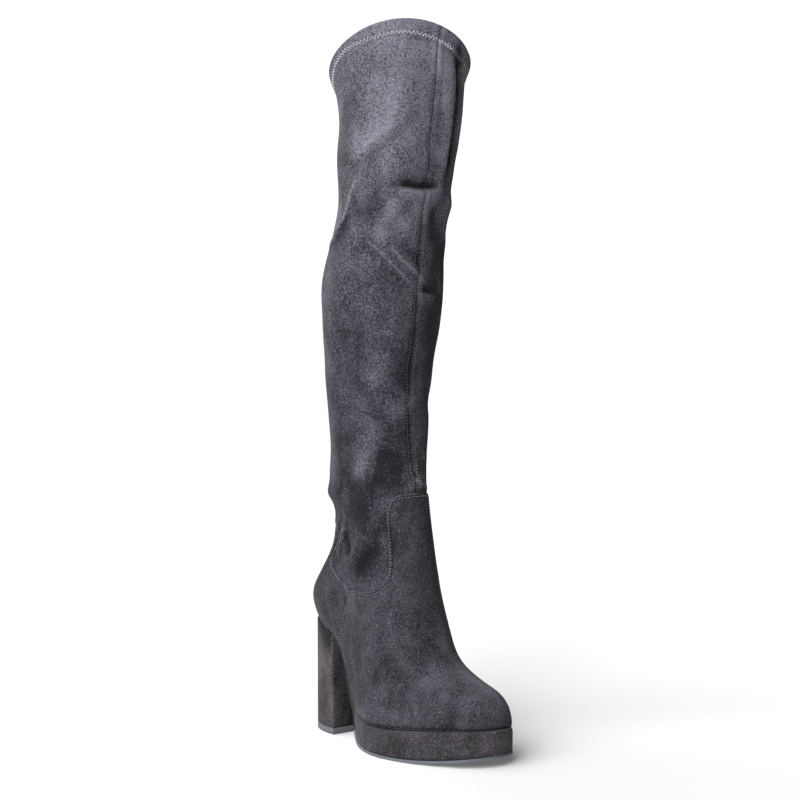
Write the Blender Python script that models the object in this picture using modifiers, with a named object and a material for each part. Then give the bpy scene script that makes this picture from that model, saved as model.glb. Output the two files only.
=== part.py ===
"""Over-the-knee suede boot on a covered platform and a straight block heel, the right one of a pair.

Sizes are in millimetres and become metres when a mesh is made. "along" runs forward from the heel to the toe,
"across" toward the inner side of the leg, and "up" from the floor.
"""
import math
from collections import namedtuple

import bpy
import numpy as np

MM = 0.001
GAP = 0.3

# Driving sizes of the last and of the boot
LAST_LENGTH = 203.5
LAST_HEEL = 14.0
LAST_TOE = LAST_HEEL + LAST_LENGTH
BALL_HALF = 43.0
HEEL_HEIGHT = 89.0
BALL_HEIGHT = 24.0
TOE_HEIGHT = 31.0
TOE_DRIFT = 6.0
DRIFT_START = 110.0
DRIFT_POWER = 1.5
WALL = 1.8
FEATHER_GAP = 0.5
HEEL_GAP = 0.4

# The part's origin lies on the floor under the middle of its bounding box
MIDDLE_ALONG = 117.0
MIDDLE_ACROSS = 10.5

# Collar: the rim rises toward the front of the outer side, to a slight point
COLLAR_RISE = 33.2
COLLAR_POINT = 1.2
COLLAR_PEAK = math.radians(-30.7)
TILT_START = 420.0
TILT_END = 500.0
HEM_WIDTH = 11.0
HEM_STEP = 0.7
STEP_RUN = 0.8

# Platform, outsole, insole and heel
PLATFORM_TOE = 223.0
PLATFORM_HEEL = 14.0
PLATFORM_BALL = 48.5
PLATFORM_REAR = 97.0
REAR_LEAN = 0.6
REAR_RADIUS = 13.0
ARCH_FILLET = 4.0
TOE_SPRING = 7.0
SPRING_START = 150.0
SEAT_THICKNESS = 2.4
PLATFORM_EDGE = 3.0
PLATFORM_FOOT = 1.2
EDGE_SHARE = 0.45
FOOT_SHARE = 0.3
TIP_SHARE = 0.4
EDGE_CURVE = 0.3
OUTSOLE = 2.0
INSOLE = 2.5
INSOLE_MARGIN = 2.8
HEEL_HALF = 26.5
HEEL_DEPTH = 40.0
HEEL_BACK = 15.5
HEEL_FULLNESS = 0.8
HEEL_BEVEL = 1.0
LIFT = 5.0
LIFT_BEVEL = 0.6

# Panels laid over the upper, cut from its form between these two distances up the boot
PANEL = 0.9
PANEL_START = 1.2
PANEL_END = 230.0

# Mesh density, and the angle past which an edge stays sharp
SHARP_ANGLE = math.radians(40)
COLUMNS = 40
ROWS = 40
SOLE_STEPS = 16
ARC_STEPS = 6
HEEL_END = 0.06
TOE_END = 0.97
HEEL_CROWDING = 1.5

# Height of the last's bottom edge: share of the last's length from the heel, and share of the climb
# from the ball to the heel
SoleLine = namedtuple("SoleLine", "share climb")
SOLE_LINE = [
    SoleLine(-0.070, 1.015),
    SoleLine(-0.020, 0.990),
    SoleLine(0.080, 0.920),
    SoleLine(0.187, 0.755),
    SoleLine(0.285, 0.480),
    SoleLine(0.373, 0.215),
    SoleLine(0.452, 0.070),
    SoleLine(0.540, 0.010),
    SoleLine(0.668, 0.000),
    SoleLine(0.815, 0.020),
    SoleLine(0.934, 0.060),
    SoleLine(1.045, 0.120),
]

# Sections of the foot from the bottom edge to the ankle. The front point lies so far behind the toe and over
# its bottom edge, the back point so far before the heel and over its bottom edge. "follow" is how much of the
# sole line's curve the section keeps. Half widths are shares of the ball's.
Foot = namedtuple("Foot", "behind_toe front_up before_heel back_up follow toe ball waist heel")
FOOT = [
    Foot(0.0, 0, 0.0, 0, 1.00, 0.74, 1.00, 0.685, 0.58),
    Foot(1.0, 6, -2.0, 7, 0.97, 0.735, 0.99, 0.72, 0.64),
    Foot(7.0, 15, -2.5, 15, 0.90, 0.705, 0.965, 0.735, 0.675),
    Foot(24.5, 24, -0.5, 24, 0.80, 0.65, 0.905, 0.755, 0.685),
    Foot(44.0, 31, 3.5, 32, 0.68, 0.61, 0.85, 0.755, 0.675),
    Foot(55.5, 37, 8.5, 40, 0.56, 0.595, 0.825, 0.755, 0.65),
    Foot(62.5, 46, 14.5, 48, 0.43, 0.59, 0.815, 0.745, 0.615),
    Foot(68.0, 60, 20.5, 57, 0.30, 0.57, 0.79, 0.735, 0.57),
    Foot(77.5, 78, 25.5, 67, 0.18, 0.57, 0.78, 0.72, 0.53),
    Foot(84.5, 101, 28.0, 79, 0.08, 0.57, 0.78, 0.72, 0.51),
]
TOE_SHOULDER = 0.64
HEEL_SHOULDER = 0.68

# The platform's outline, its half widths as shares of its own at the ball
Platform = namedtuple("Platform", "toe ball waist heel")
PLATFORM = Platform(0.74, 1.0, 0.615, 0.505)

# Level sections of the shaft
Shaft = namedtuple("Shaft", "up along across half_depth half_width")
SHAFT = [
    Shaft(185, 82, 0, 47.5, 29.0),
    Shaft(201, 79, 0, 47.0, 31.5),
    Shaft(220, 79, 1, 41.5, 34.5),
    Shaft(250, 79, 1, 38.0, 39.5),
    Shaft(290, 77, 2, 40.0, 43.0),
    Shaft(330, 80, 3, 42.5, 48.0),
    Shaft(358, 80, 4, 44.5, 49.0),
    Shaft(385, 83, 6, 41.5, 45.5),
    Shaft(418, 90, 8, 38.5, 46.0),
    Shaft(455, 90, 10, 43.0, 48.0),
    Shaft(492, 92, 12, 47.0, 48.0),
    Shaft(512, 91, 12, 49.0, 50.0),
    Shaft(524, 91, 12.5, 52.0, 55.5),
]

# Where along a section, from its front to its back, the half widths are given
STATIONS = np.array([0.0, 0.04, 0.13, 0.34, 0.62, 0.86, 0.95, 1.0])

# Side outlines of the two panels: the vamp's edge from the sole over the ankle to the tongue's top, and the
# counter's edge from the vamp seam to the back
Outline = namedtuple("Outline", "along up")
SIDE_SEAM = [
    Outline(74.5, 40),
    Outline(74.0, 66),
    Outline(75.5, 90),
    Outline(79.5, 107),
    Outline(86.0, 119.5),
]
VAMP_EDGE = [
    Outline(97.0, 121.0),
    Outline(108.5, 120.5),
    Outline(117.5, 124.5),
    Outline(122.0, 132.0),
    Outline(122.5, 141.0),
    Outline(120.5, 156.0),
    Outline(117.5, 171.0),
    Outline(116.0, 184.0),
    Outline(118.0, 193.0),
    Outline(124.0, 197.5),
]
COUNTER_EDGE = [
    Outline(78.0, 121.5),
    Outline(69.0, 124.5),
    Outline(61.0, 130.0),
    Outline(57.0, 138.0),
    Outline(54.5, 148.0),
    Outline(50.0, 158.0),
    Outline(42.0, 163.5),
]
SEAM_GAP = 0.4
CUTTER_REACH = 120.0

# Colours from the photograph, as linear values
CHARCOAL = (0.072, 0.070, 0.082)
CHARCOAL_WARM = (0.066, 0.063, 0.070)
PALE_RUBBER = (0.42, 0.45, 0.50)
SOCK_LINING = (0.10, 0.095, 0.10)


def clear_scene():
    for thing in list(bpy.data.objects):
        bpy.data.objects.remove(thing, do_unlink=True)


def new_collection(name):
    collection = bpy.data.collections.new(name)
    bpy.context.scene.collection.children.link(collection)
    return collection


def new_material(name, colour, roughness):
    material = bpy.data.materials.new(name)
    material.use_nodes = True
    shader = material.node_tree.nodes["Principled BSDF"]
    shader.inputs["Base Color"].default_value = (*colour, 1.0)
    shader.inputs["Roughness"].default_value = roughness
    shader.inputs["Metallic"].default_value = 0.0
    material.diffuse_color = (*colour, 1.0)
    return material


def smooth(places, values, where):
    """A cubic curve through rows of a table, as smooth as the rows are, read at the places in where."""
    places = np.asarray(places, float)
    values = np.asarray(values, float)
    where = np.asarray(where, float)
    run = np.diff(places)
    if values.ndim > 1:
        run = run[:, None]
    slope = np.diff(values, axis=0) / run
    tangent = np.empty_like(values)
    tangent[1:-1] = (slope[:-1] * run[1:] + slope[1:] * run[:-1]) / (run[1:] + run[:-1])
    tangent[0] = slope[0]
    tangent[-1] = slope[-1]
    row = np.clip(np.searchsorted(places, where, side="right") - 1, 0, len(places) - 2)
    share = (where - places[row]) / np.diff(places)[row]
    step = np.diff(places)[row]
    if values.ndim > 1:
        share = share[..., None]
        step = step[..., None]
    rest = 1 - share
    return (
        values[row] * (1 + 2 * share) * rest ** 2
        + tangent[row] * step * share * rest ** 2
        + values[row + 1] * share ** 2 * (3 - 2 * share)
        - tangent[row + 1] * step * share ** 2 * rest
    )


def sole_line(along):
    """Height of the last's bottom edge."""
    share = (np.asarray(along, float) - LAST_HEEL) / LAST_LENGTH
    climb = smooth([row.share for row in SOLE_LINE], [row.climb for row in SOLE_LINE], share)
    return BALL_HEIGHT + (HEEL_HEIGHT - BALL_HEIGHT) * climb


def seat_line(along):
    """Height of the platform's top, just under the upper's bottom edge."""
    return float(sole_line(along)) - FEATHER_GAP


def drift(along):
    """How far the middle of the foot swings toward the inner side at the toe."""
    return TOE_DRIFT * np.clip((along - DRIFT_START) / DRIFT_START, 0, None) ** DRIFT_POWER


def foot_squares(ball_half, toe, ball, waist, heel):
    """Squared half widths at the stations of a foot section, which has a round toe and a round heel."""
    shares = np.array([0, TOE_SHOULDER * toe, toe, ball, waist, heel, HEEL_SHOULDER * heel, 0])
    return (ball_half * shares) ** 2


def half_width(share, squares):
    """Half width at shares of a section's length. Its square is smooth, so both ends are round."""
    return np.sqrt(np.maximum(smooth(STATIONS, squares, share), 0))


def to_world(points):
    """Turn (across, along, up) in millimetres into the part's frame, which has its toe toward -Y."""
    points = np.asarray(points, float)
    across = points[..., 0] - MIDDLE_ACROSS
    along = MIDDLE_ALONG - points[..., 1]
    return np.stack([across, along, points[..., 2]], axis=-1) * MM


def section_table():
    """Every section of foot and shaft as one row: its end points, follow, middle and squared half widths."""
    rows = []
    for foot in FOOT:
        squares = foot_squares(BALL_HALF, foot.toe, foot.ball, foot.waist, foot.heel)
        front = (LAST_TOE - foot.behind_toe, TOE_HEIGHT + foot.front_up)
        back = (LAST_HEEL + foot.before_heel, HEEL_HEIGHT + foot.back_up)
        rows.append(np.concatenate([front, back, [foot.follow, 0], squares]))
    for level in SHAFT:
        squares = level.half_width ** 2 * 4 * STATIONS * (1 - STATIONS)
        front = (level.along + level.half_depth, level.up)
        back = (level.along - level.half_depth, level.up)
        rows.append(np.concatenate([front, back, [0, level.across], squares]))
    return np.array(rows)


def section_places(table):
    """Distance of each section up the boot, the mean of the way along its front and along its back."""
    front = np.hypot(*np.diff(table[:, 0:2], axis=0).T)
    back = np.hypot(*np.diff(table[:, 2:4], axis=0).T)
    return np.concatenate([[0], np.cumsum((front + back) / 2)])


TABLE = section_table()
PLACES = section_places(TABLE)


def section_ring(row):
    """The points of one section, from its front around the inner side to its back and on."""
    front_along, front_up, back_along, back_up, follow, middle = row[:6]
    turn = np.linspace(0, 2 * math.pi, COLUMNS, endpoint=False)
    share = (1 - np.cos(turn)) / 2
    side = np.where(turn <= math.pi, 1, -1)
    along = front_along + (back_along - front_along) * share
    up = front_up + (back_up - front_up) * share
    chord = TOE_HEIGHT + (HEEL_HEIGHT - TOE_HEIGHT) * share
    lift = np.clip((up - TILT_START) / (TILT_END - TILT_START), 0, 1)
    lift = lift ** 2 * (3 - 2 * lift)
    across = middle + side * half_width(share, row[6:]) + follow * drift(along)
    up = up + follow * (sole_line(LAST_TOE - LAST_LENGTH * share) - chord)
    rise = COLLAR_RISE * np.cos(turn - COLLAR_PEAK) + COLLAR_POINT * np.cos(2 * (turn - COLLAR_PEAK))
    up = up + lift * rise
    return np.stack([across, along, up], axis=-1)


def skin(places, offset):
    """Rings of the upper's outer face at places up the boot, moved outward by an offset for each place."""
    rings = np.array([section_ring(row) for row in smooth(PLACES, TABLE, places)])
    around = np.roll(rings, -1, axis=1) - np.roll(rings, 1, axis=1)
    upward = np.gradient(rings, places, axis=0)
    normal = np.cross(upward, around)
    normal = normal / np.linalg.norm(normal, axis=2, keepdims=True)
    return rings + normal * np.broadcast_to(offset, len(places))[:, None, None]


def add_mesh(name, points, faces, collection, material=None):
    mesh = bpy.data.meshes.new(name)
    mesh.from_pydata([tuple(point) for point in to_world(points).reshape(-1, 3)], [], faces)
    mesh.validate()
    mesh.update()
    mesh.shade_smooth()
    mesh.set_sharp_from_angle(angle=SHARP_ANGLE)
    thing = bpy.data.objects.new(name, mesh)
    collection.objects.link(thing)
    if material:
        mesh.materials.append(material)
    return thing


def tube_faces(rings, count):
    """Quads between neighbouring rings of count points each, facing away from the tube's middle."""
    faces = []
    for ring in range(rings - 1):
        for place in range(count):
            following = (place + 1) % count
            low = ring * count
            high = low + count
            faces.append((low + place, low + following, high + following, high + place))
    return faces


def add_loft(name, sections, collection, material):
    """A closed solid through sections of one count of points, capped at both ends."""
    sections = np.asarray(sections, float)
    rings, count = sections.shape[:2]
    faces = tube_faces(rings, count)
    faces.append(tuple(reversed(range(count))))
    faces.append(tuple(range((rings - 1) * count, rings * count)))
    return add_mesh(name, sections, faces, collection, material)


def add_wall(thing, thickness, outward):
    wall = thing.modifiers.new("wall", "SOLIDIFY")
    wall.thickness = thickness * MM
    wall.offset = 1 if outward else -1
    wall.use_even_offset = False


def add_bevel(thing, width):
    bevel = thing.modifiers.new("edges", "BEVEL")
    bevel.width = width * MM
    bevel.segments = 2
    bevel.limit_method = "ANGLE"
    bevel.angle_limit = SHARP_ANGLE


def upper_places():
    return np.linspace(0, PLACES[-1], ROWS)


def build_upper(collection, material):
    """Stretch wall from the sole to the collar, with the folded hem as a step near its rim."""
    rim = PLACES[-1]
    hem = rim - HEM_WIDTH
    below = upper_places()
    below = below[below < hem - STEP_RUN]
    places = np.concatenate([below, [hem - STEP_RUN, hem, (hem + rim) / 2, rim]])
    rings = skin(places, np.where(places >= hem, HEM_STEP, 0))
    upper = add_mesh("upper", rings, tube_faces(len(places), COLUMNS), collection, material)
    add_wall(upper, WALL, outward=False)
    return upper


def add_cutter(name, outline, collection):
    """A prism across the boot with a side outline, its points given clockwise as seen from the outer side."""
    near = [(-CUTTER_REACH, row.along, row.up) for row in outline]
    far = [(CUTTER_REACH, row.along, row.up) for row in outline]
    cutter = add_loft(name, [near, far], collection, None)
    cutter.display_type = "WIRE"
    cutter.hide_render = True
    return cutter


def build_panel(name, outline, collection, cutters, material):
    """A panel that lies on the upper, cut with a side outline from a shell of the upper's own form."""
    places = upper_places()
    places = np.concatenate([[PANEL_START], places[(places > PANEL_START) & (places < PANEL_END)]])
    rings = skin(places, GAP)
    panel = add_mesh(name, rings, tube_faces(len(places), COLUMNS), collection, material)
    add_wall(panel, PANEL, outward=True)
    cut = panel.modifiers.new("outline", "BOOLEAN")
    cut.operation = "INTERSECT"
    cut.solver = "EXACT"
    cut.object = add_cutter(name + "_outline", outline, cutters)
    return panel


def vamp_outline():
    front = PLATFORM_TOE + CUTTER_REACH
    top = VAMP_EDGE[-1].up
    start = SIDE_SEAM[0]
    below = start.up - CUTTER_REACH
    return SIDE_SEAM + VAMP_EDGE + [Outline(front, top), Outline(front, below), Outline(start.along, below)]


def counter_outline():
    back = LAST_HEEL - CUTTER_REACH
    seam = [Outline(row.along - SEAM_GAP, row.up) for row in reversed(SIDE_SEAM)]
    return seam + [Outline(back, SIDE_SEAM[0].up), Outline(back, COUNTER_EDGE[-1].up)] + COUNTER_EDGE[::-1]


def fillet(before, corner, after, radius):
    """Points of the arc that rounds a corner between two straight runs."""
    before, corner, after = (np.asarray(point, float) for point in (before, corner, after))
    inward = (before - corner) / np.linalg.norm(before - corner)
    outward = (after - corner) / np.linalg.norm(after - corner)
    half = math.acos(float(inward @ outward)) / 2
    bisector = (inward + outward) / np.linalg.norm(inward + outward)
    centre = corner + bisector * radius / math.sin(half)
    start = corner + inward * radius / math.tan(half) - centre
    end = corner + outward * radius / math.tan(half) - centre
    sweep = math.pi - 2 * half
    points = []
    for step in range(ARC_STEPS + 1):
        angle = sweep * step / ARC_STEPS
        points.append(centre + (start * math.sin(sweep - angle) + end * math.sin(angle)) / math.sin(sweep))
    return points


def underside():
    """Side profile of the platform's underside from the heel to the toe, as (along, up) points."""
    floor = OUTSOLE + GAP

    def arch(along):
        return np.array([along, seat_line(along) - SEAT_THICKNESS])

    top = arch(PLATFORM_REAR - REAR_LEAN)
    foot = np.array([PLATFORM_REAR + REAR_LEAN, floor])
    corner = fillet(arch(top[0] - ARCH_FILLET), top, foot, ARCH_FILLET)
    sweep = np.linspace(HEEL_END, 1, SOLE_STEPS) ** HEEL_CROWDING
    seat = [arch(along) for along in PLATFORM_HEEL + (corner[0][0] - PLATFORM_HEEL) * sweep[:-1]]
    heel = fillet(top, foot, foot + [REAR_RADIUS, 0], REAR_RADIUS)
    ahead = np.sin(np.linspace(0, TOE_END, SOLE_STEPS) * math.pi / 2)
    front = []
    for along in heel[-1][0] + (PLATFORM_TOE - heel[-1][0]) * ahead[1:]:
        spring = max(0.0, (along - SPRING_START) / (PLATFORM_TOE - SPRING_START)) ** 2
        front.append(np.array([along, floor + TOE_SPRING * spring]))
    return seat + corner + heel + front


def sole_half(along):
    """Half width of the sole's outline."""
    share = (PLATFORM_TOE - along) / (PLATFORM_TOE - PLATFORM_HEEL)
    squares = foot_squares(PLATFORM_BALL, PLATFORM.toe, PLATFORM.ball, PLATFORM.waist, PLATFORM.heel)
    return half_width(share, squares)


def mirrored(half, along):
    """A whole section from its inner half, given as (from the middle, up) points from bottom to top."""
    inner = [(drift(along) + across, along, up) for across, up in half]
    outer = [(drift(along) - across, along, up) for across, up in reversed(half)]
    return inner + outer


def build_platform(collection, material):
    """Covered platform that thins to a board along the arch and the heel seat and closes the upper."""
    sections = []
    for along, low in underside():
        high = seat_line(along)
        half = float(sole_half(along))
        foot = min(PLATFORM_FOOT, FOOT_SHARE * (high - low), TIP_SHARE * half)
        edge = min(PLATFORM_EDGE, EDGE_SHARE * (high - low), TIP_SHARE * half)
        sections.append(mirrored([
            (half - foot, low),
            (half, low + foot),
            (half, high - edge),
            (half - EDGE_CURVE * edge, high - EDGE_CURVE * edge),
            (half - edge, high),
        ], along))
    return add_loft("platform", sections, collection, material)


def build_outsole(collection, material):
    """Rubber sheet under the platform, up its rear end and along the arch to the heel."""
    path = np.array([point for point in underside() if point[0] > HEEL_BACK + HEEL_DEPTH + 2 * GAP])
    run = np.gradient(path, axis=0)
    run = run / np.linalg.norm(run, axis=1, keepdims=True)
    down = np.stack([run[:, 1], -run[:, 0]], axis=1)
    sections = []
    for (along, up), (forward, drop) in zip(path, down):
        half = float(sole_half(along))
        middle = float(drift(along))
        ring = []
        for depth, side in ((GAP + OUTSOLE, 1), (GAP, 1), (GAP, -1), (GAP + OUTSOLE, -1)):
            ring.append((middle + side * half, along + forward * depth, up + drop * depth))
        sections.append(ring)
    return add_loft("outsole", sections, collection, material)


def build_insole(collection, material):
    """Sock board that lies on the platform inside the upper."""
    squares = foot_squares(BALL_HALF, FOOT[0].toe, FOOT[0].ball, FOOT[0].waist, FOOT[0].heel)
    sections = []
    for along, _ in underside():
        share = (LAST_TOE - INSOLE_MARGIN - along) / (LAST_LENGTH - 2 * INSOLE_MARGIN)
        half = float(half_width(np.clip(share, 0, 1), squares)) - INSOLE_MARGIN
        if half < INSOLE_MARGIN:
            continue
        low = seat_line(along) + GAP
        sections.append(mirrored([(half, low), (half, low + INSOLE)], along))
    return add_loft("insole", sections, collection, material)


def block_sections(low, high):
    """Sections of a D-shaped block with a round back, from its back to its flat breast."""
    sections = []
    for turn in np.linspace(HEEL_END, 1, SOLE_STEPS) * math.pi / 2:
        along = HEEL_BACK + HEEL_DEPTH * (1 - math.cos(turn))
        half = HEEL_HALF * math.sin(turn) ** HEEL_FULLNESS
        sections.append([(half, along, low), (half, along, high(along)),
                         (-half, along, high(along)), (-half, along, low)])
    return sections


def build_heel(collection, material):
    """Covered straight block under the heel seat."""
    def seat(along):
        return seat_line(along) - SEAT_THICKNESS - HEEL_GAP

    heel = add_loft("heel", block_sections(LIFT + GAP, seat), collection, material)
    add_bevel(heel, HEEL_BEVEL)
    return heel


def build_heel_lift(collection, material):
    """Rubber top piece under the heel."""
    lift = add_loft("heel_lift", block_sections(0.0, lambda along: LIFT), collection, material)
    add_bevel(lift, LIFT_BEVEL)
    return lift


clear_scene()
boot = new_collection("boot")
cutters = new_collection("cutters")
suede = new_material("suede_stretch", CHARCOAL, 0.95)
panel_suede = new_material("suede_panel", CHARCOAL, 0.95)
counter_suede = new_material("suede_counter", CHARCOAL, 0.95)
cover = new_material("suede_platform", CHARCOAL_WARM, 0.95)
heel_cover = new_material("suede_heel", CHARCOAL_WARM, 0.95)
outsole_rubber = new_material("rubber_outsole", PALE_RUBBER, 0.6)
lift_rubber = new_material("rubber_lift", PALE_RUBBER, 0.6)
sock = new_material("sock_lining", SOCK_LINING, 0.9)

build_upper(boot, suede)
build_panel("vamp", vamp_outline(), boot, cutters, panel_suede)
build_panel("counter", counter_outline(), boot, cutters, counter_suede)
build_platform(boot, cover)
build_outsole(boot, outsole_rubber)
build_insole(boot, sock)
build_heel(boot, heel_cover)
build_heel_lift(boot, lift_rubber)
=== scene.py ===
import math
from collections import namedtuple

import bmesh
import bpy
import numpy as np
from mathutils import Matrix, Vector, noise
from mathutils.bvhtree import BVHTree
from mathutils.kdtree import KDTree


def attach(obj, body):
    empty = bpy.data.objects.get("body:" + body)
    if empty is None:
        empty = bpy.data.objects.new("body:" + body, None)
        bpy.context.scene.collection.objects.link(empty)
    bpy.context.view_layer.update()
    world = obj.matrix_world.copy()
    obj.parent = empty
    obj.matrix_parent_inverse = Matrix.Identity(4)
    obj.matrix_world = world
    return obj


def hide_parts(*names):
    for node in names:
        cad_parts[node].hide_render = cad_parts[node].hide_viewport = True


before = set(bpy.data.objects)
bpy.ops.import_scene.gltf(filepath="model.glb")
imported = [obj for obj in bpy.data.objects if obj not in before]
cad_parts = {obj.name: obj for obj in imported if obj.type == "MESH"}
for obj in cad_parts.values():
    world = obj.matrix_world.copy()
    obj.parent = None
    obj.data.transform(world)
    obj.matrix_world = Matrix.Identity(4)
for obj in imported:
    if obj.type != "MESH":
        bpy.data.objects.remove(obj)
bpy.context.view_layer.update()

# Upper: one tube of stretch suede, drawn over the last down to the sole and closed by a seam up the front.
# Its top edge is folded in as a hem, a knit lines the inside, and the empty leg slumps in soft folds.
MM = 0.001
SAME_PLACE = 0.001 * MM
MIDDLE_ACROSS = 10.5
MIDDLE_ALONG = 117.0


def place(across, along, up):
    """A point of the boot: millimetres toward the inner side, forward from the heel and up from the floor."""
    return ((across - MIDDLE_ACROSS) * MM, (MIDDLE_ALONG - along) * MM, up * MM)


def along_of(points):
    """How far forward from the heel each point lies, in millimetres."""
    return MIDDLE_ALONG - points[:, 1] / MM


def read_off(table, at):
    """What a table of two columns says at some values of its first, straight between its rows."""
    return np.interp(at, *zip(*table))


def eased(share):
    """A share kept between nought and one, with a soft start and end."""
    share = np.clip(share, 0, 1)
    return share * share * (3 - 2 * share)


def take_up(piece):
    """Makes a piece the only one that is selected and the active one."""
    bpy.ops.object.select_all(action="DESELECT")
    piece.select_set(True)
    bpy.context.view_layer.objects.active = piece


def new_piece(name, mesh):
    """A piece in the scene with a mesh of its own."""
    piece = bpy.data.objects.new(name, mesh)
    bpy.context.scene.collection.objects.link(piece)
    return piece


def copy_of(node, name):
    """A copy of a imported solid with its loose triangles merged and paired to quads."""
    piece = new_piece(name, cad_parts[node].data.copy())
    piece.data.materials.clear()
    take_up(piece)
    bpy.ops.mesh.customdata_custom_splitnormals_clear()
    bpy.ops.object.mode_set(mode="EDIT")
    bpy.ops.mesh.select_mode(type="FACE")
    bpy.ops.mesh.select_all(action="SELECT")
    bpy.ops.mesh.remove_doubles(threshold=SAME_PLACE)
    bpy.ops.mesh.tris_convert_to_quads(face_threshold=math.pi, shape_threshold=math.pi)
    bpy.ops.mesh.select_all(action="DESELECT")
    bpy.ops.object.mode_set(mode="OBJECT")
    return piece


def open_edges(piece):
    """The edges that only one face of a piece uses, as pairs of vertices."""
    count = {}
    for face in piece.data.polygons:
        for key in face.edge_keys:
            count[key] = count.get(key, 0) + 1
    return [key for key, times in count.items() if times == 1]


def apply_modifier(piece, kind, **settings):
    """Adds a modifier to a piece and makes its result the piece's own mesh."""
    modifier = piece.modifiers.new(kind, kind)
    for key, value in settings.items():
        setattr(modifier, key, value)
    take_up(piece)
    bpy.ops.object.modifier_apply(modifier=modifier.name)


def points_of(piece):
    flat = np.empty(3 * len(piece.data.vertices))
    piece.data.vertices.foreach_get("co", flat)
    return flat.reshape(-1, 3)


def normals_of(piece):
    flat = np.empty(3 * len(piece.data.vertices))
    piece.data.vertex_normals.foreach_get("vector", flat)
    return flat.reshape(-1, 3)


def move_points(piece, points):
    piece.data.vertices.foreach_set("co", points.ravel())
    piece.data.update()


def score(piece, distance, near=8 * MM, snap=0.12 * MM):
    """Cuts the faces along the line where a distance, known at the vertices, is nought."""
    mesh = bmesh.new()
    mesh.from_mesh(piece.data)
    mesh.verts.ensure_lookup_table()
    layer = mesh.verts.layers.float.new("distance")
    line = set()
    for vert, value in zip(mesh.verts, distance):
        vert[layer] = value
        if abs(value) < snap:
            vert[layer] = 0
            line.add(vert)
    for edge in list(mesh.edges):
        start, end = edge.verts
        low, high = start[layer], end[layer]
        if low * high < 0 and abs(low) + abs(high) < near:
            new = bmesh.utils.edge_split(edge, start, low / (low - high))[1]
            new[layer] = 0
            line.add(new)
    for face in list(mesh.faces):
        ends = [vert for vert in face.verts if vert in line]
        if len(ends) == 2 and not mesh.edges.get(ends):
            bmesh.utils.face_split(face, ends[0], ends[1])
    mesh.verts.ensure_lookup_table()
    values = np.array([vert[layer] for vert in mesh.verts])
    mesh.verts.layers.float.remove(layer)
    mesh.to_mesh(piece.data)
    mesh.free()
    return values


def rounded(path, times=2):
    """A path with its corners cut, so that a line drawn by a few points runs smoothly."""
    path = np.array(path, float)
    for _ in range(times):
        ahead = 0.75 * path[:-1] + 0.25 * path[1:]
        behind = 0.25 * path[:-1] + 0.75 * path[1:]
        inner = np.stack([ahead, behind], axis=1).reshape(-1, path.shape[1])
        path = np.concatenate([path[:1], inner, path[-1:]])
    return path


def beside_path(points, normals, path):
    """For each point, its distance from a path on the boot, above it positive, and its share of the way."""
    path = rounded([place(*step) for step in path])
    steps = np.linalg.norm(np.diff(path, axis=0), axis=1)
    reached = np.concatenate([[0], np.cumsum(steps)]) / steps.sum()
    nearest = np.full(len(points), np.inf)
    signed = np.zeros(len(points))
    share = np.zeros(len(points))
    for start, end, low, high in zip(path[:-1], path[1:], reached[:-1], reached[1:]):
        run = end - start
        part = np.clip((points - start) @ run / (run @ run), 0, 1)
        away = points - start - part[:, None] * run
        size = np.linalg.norm(away, axis=1)
        closer = size < nearest
        above = np.einsum("ij,ij->i", np.cross(normals, run), away) >= 0
        nearest = np.where(closer, size, nearest)
        signed = np.where(closer, np.where(above, size, -size), signed)
        share = np.where(closer, low + part * (high - low), share)
    return signed, share


def drawn(points, normals, lines, ends):
    """What soft lines drawn on the boot add up to at each point. Each line fades out toward its two ends."""
    total = np.zeros(len(points))
    for amount, above, below, line in lines:
        signed, share = beside_path(points, normals, line)
        width = np.where(signed > 0, above, below) * MM
        total += amount * np.exp(-(signed / width) ** 2) * eased(ends * np.minimum(share, 1 - share))
    return total


SoftLine = namedtuple("SoftLine", "amount above below line")


def soft_lines(*rows):
    """Lines from rows of an amount, the width above and below, and the points, left to right from outside."""
    return [SoftLine(*row[:3], row[3:]) for row in rows]


# Lines that a crease shares with the painted highlight or painted shade laid along it in the nap
KNEE_RIDGE = [(-31, 57, 380), (-33, 62, 386), (-37, 72, 392), (-37, 77, 398), (-38, 85, 406), (-38, 88, 413),
              (-38, 92, 419), (-37, 95, 428), (-37, 100, 438), (-36, 104, 446)]
FLAT_HOLLOW = [(29, 127, 436), (32, 127, 451), (33, 127, 460), (35, 128, 472), (37, 129, 482), (38, 130, 492),
               (37, 132, 504), (36, 133, 517), (35, 134, 526), (32, 138, 538)]
TONGUE_ROLL = [(-2, 124, 207.5), (4, 124, 205), (9, 124, 202), (14, 122, 200), (20, 117, 198.5)]
ANKLE_TUCK = [(-25, 53, 143), (-26, 57, 147.5), (-26, 62, 152), (-27, 65.5, 157), (-27, 66.5, 163), (-26, 65, 170)]
ANKLE_FOLD = [(-26, 61, 144), (-28, 67, 150), (-29, 71, 157), (-29, 72, 163), (-29, 73, 172)]
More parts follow.
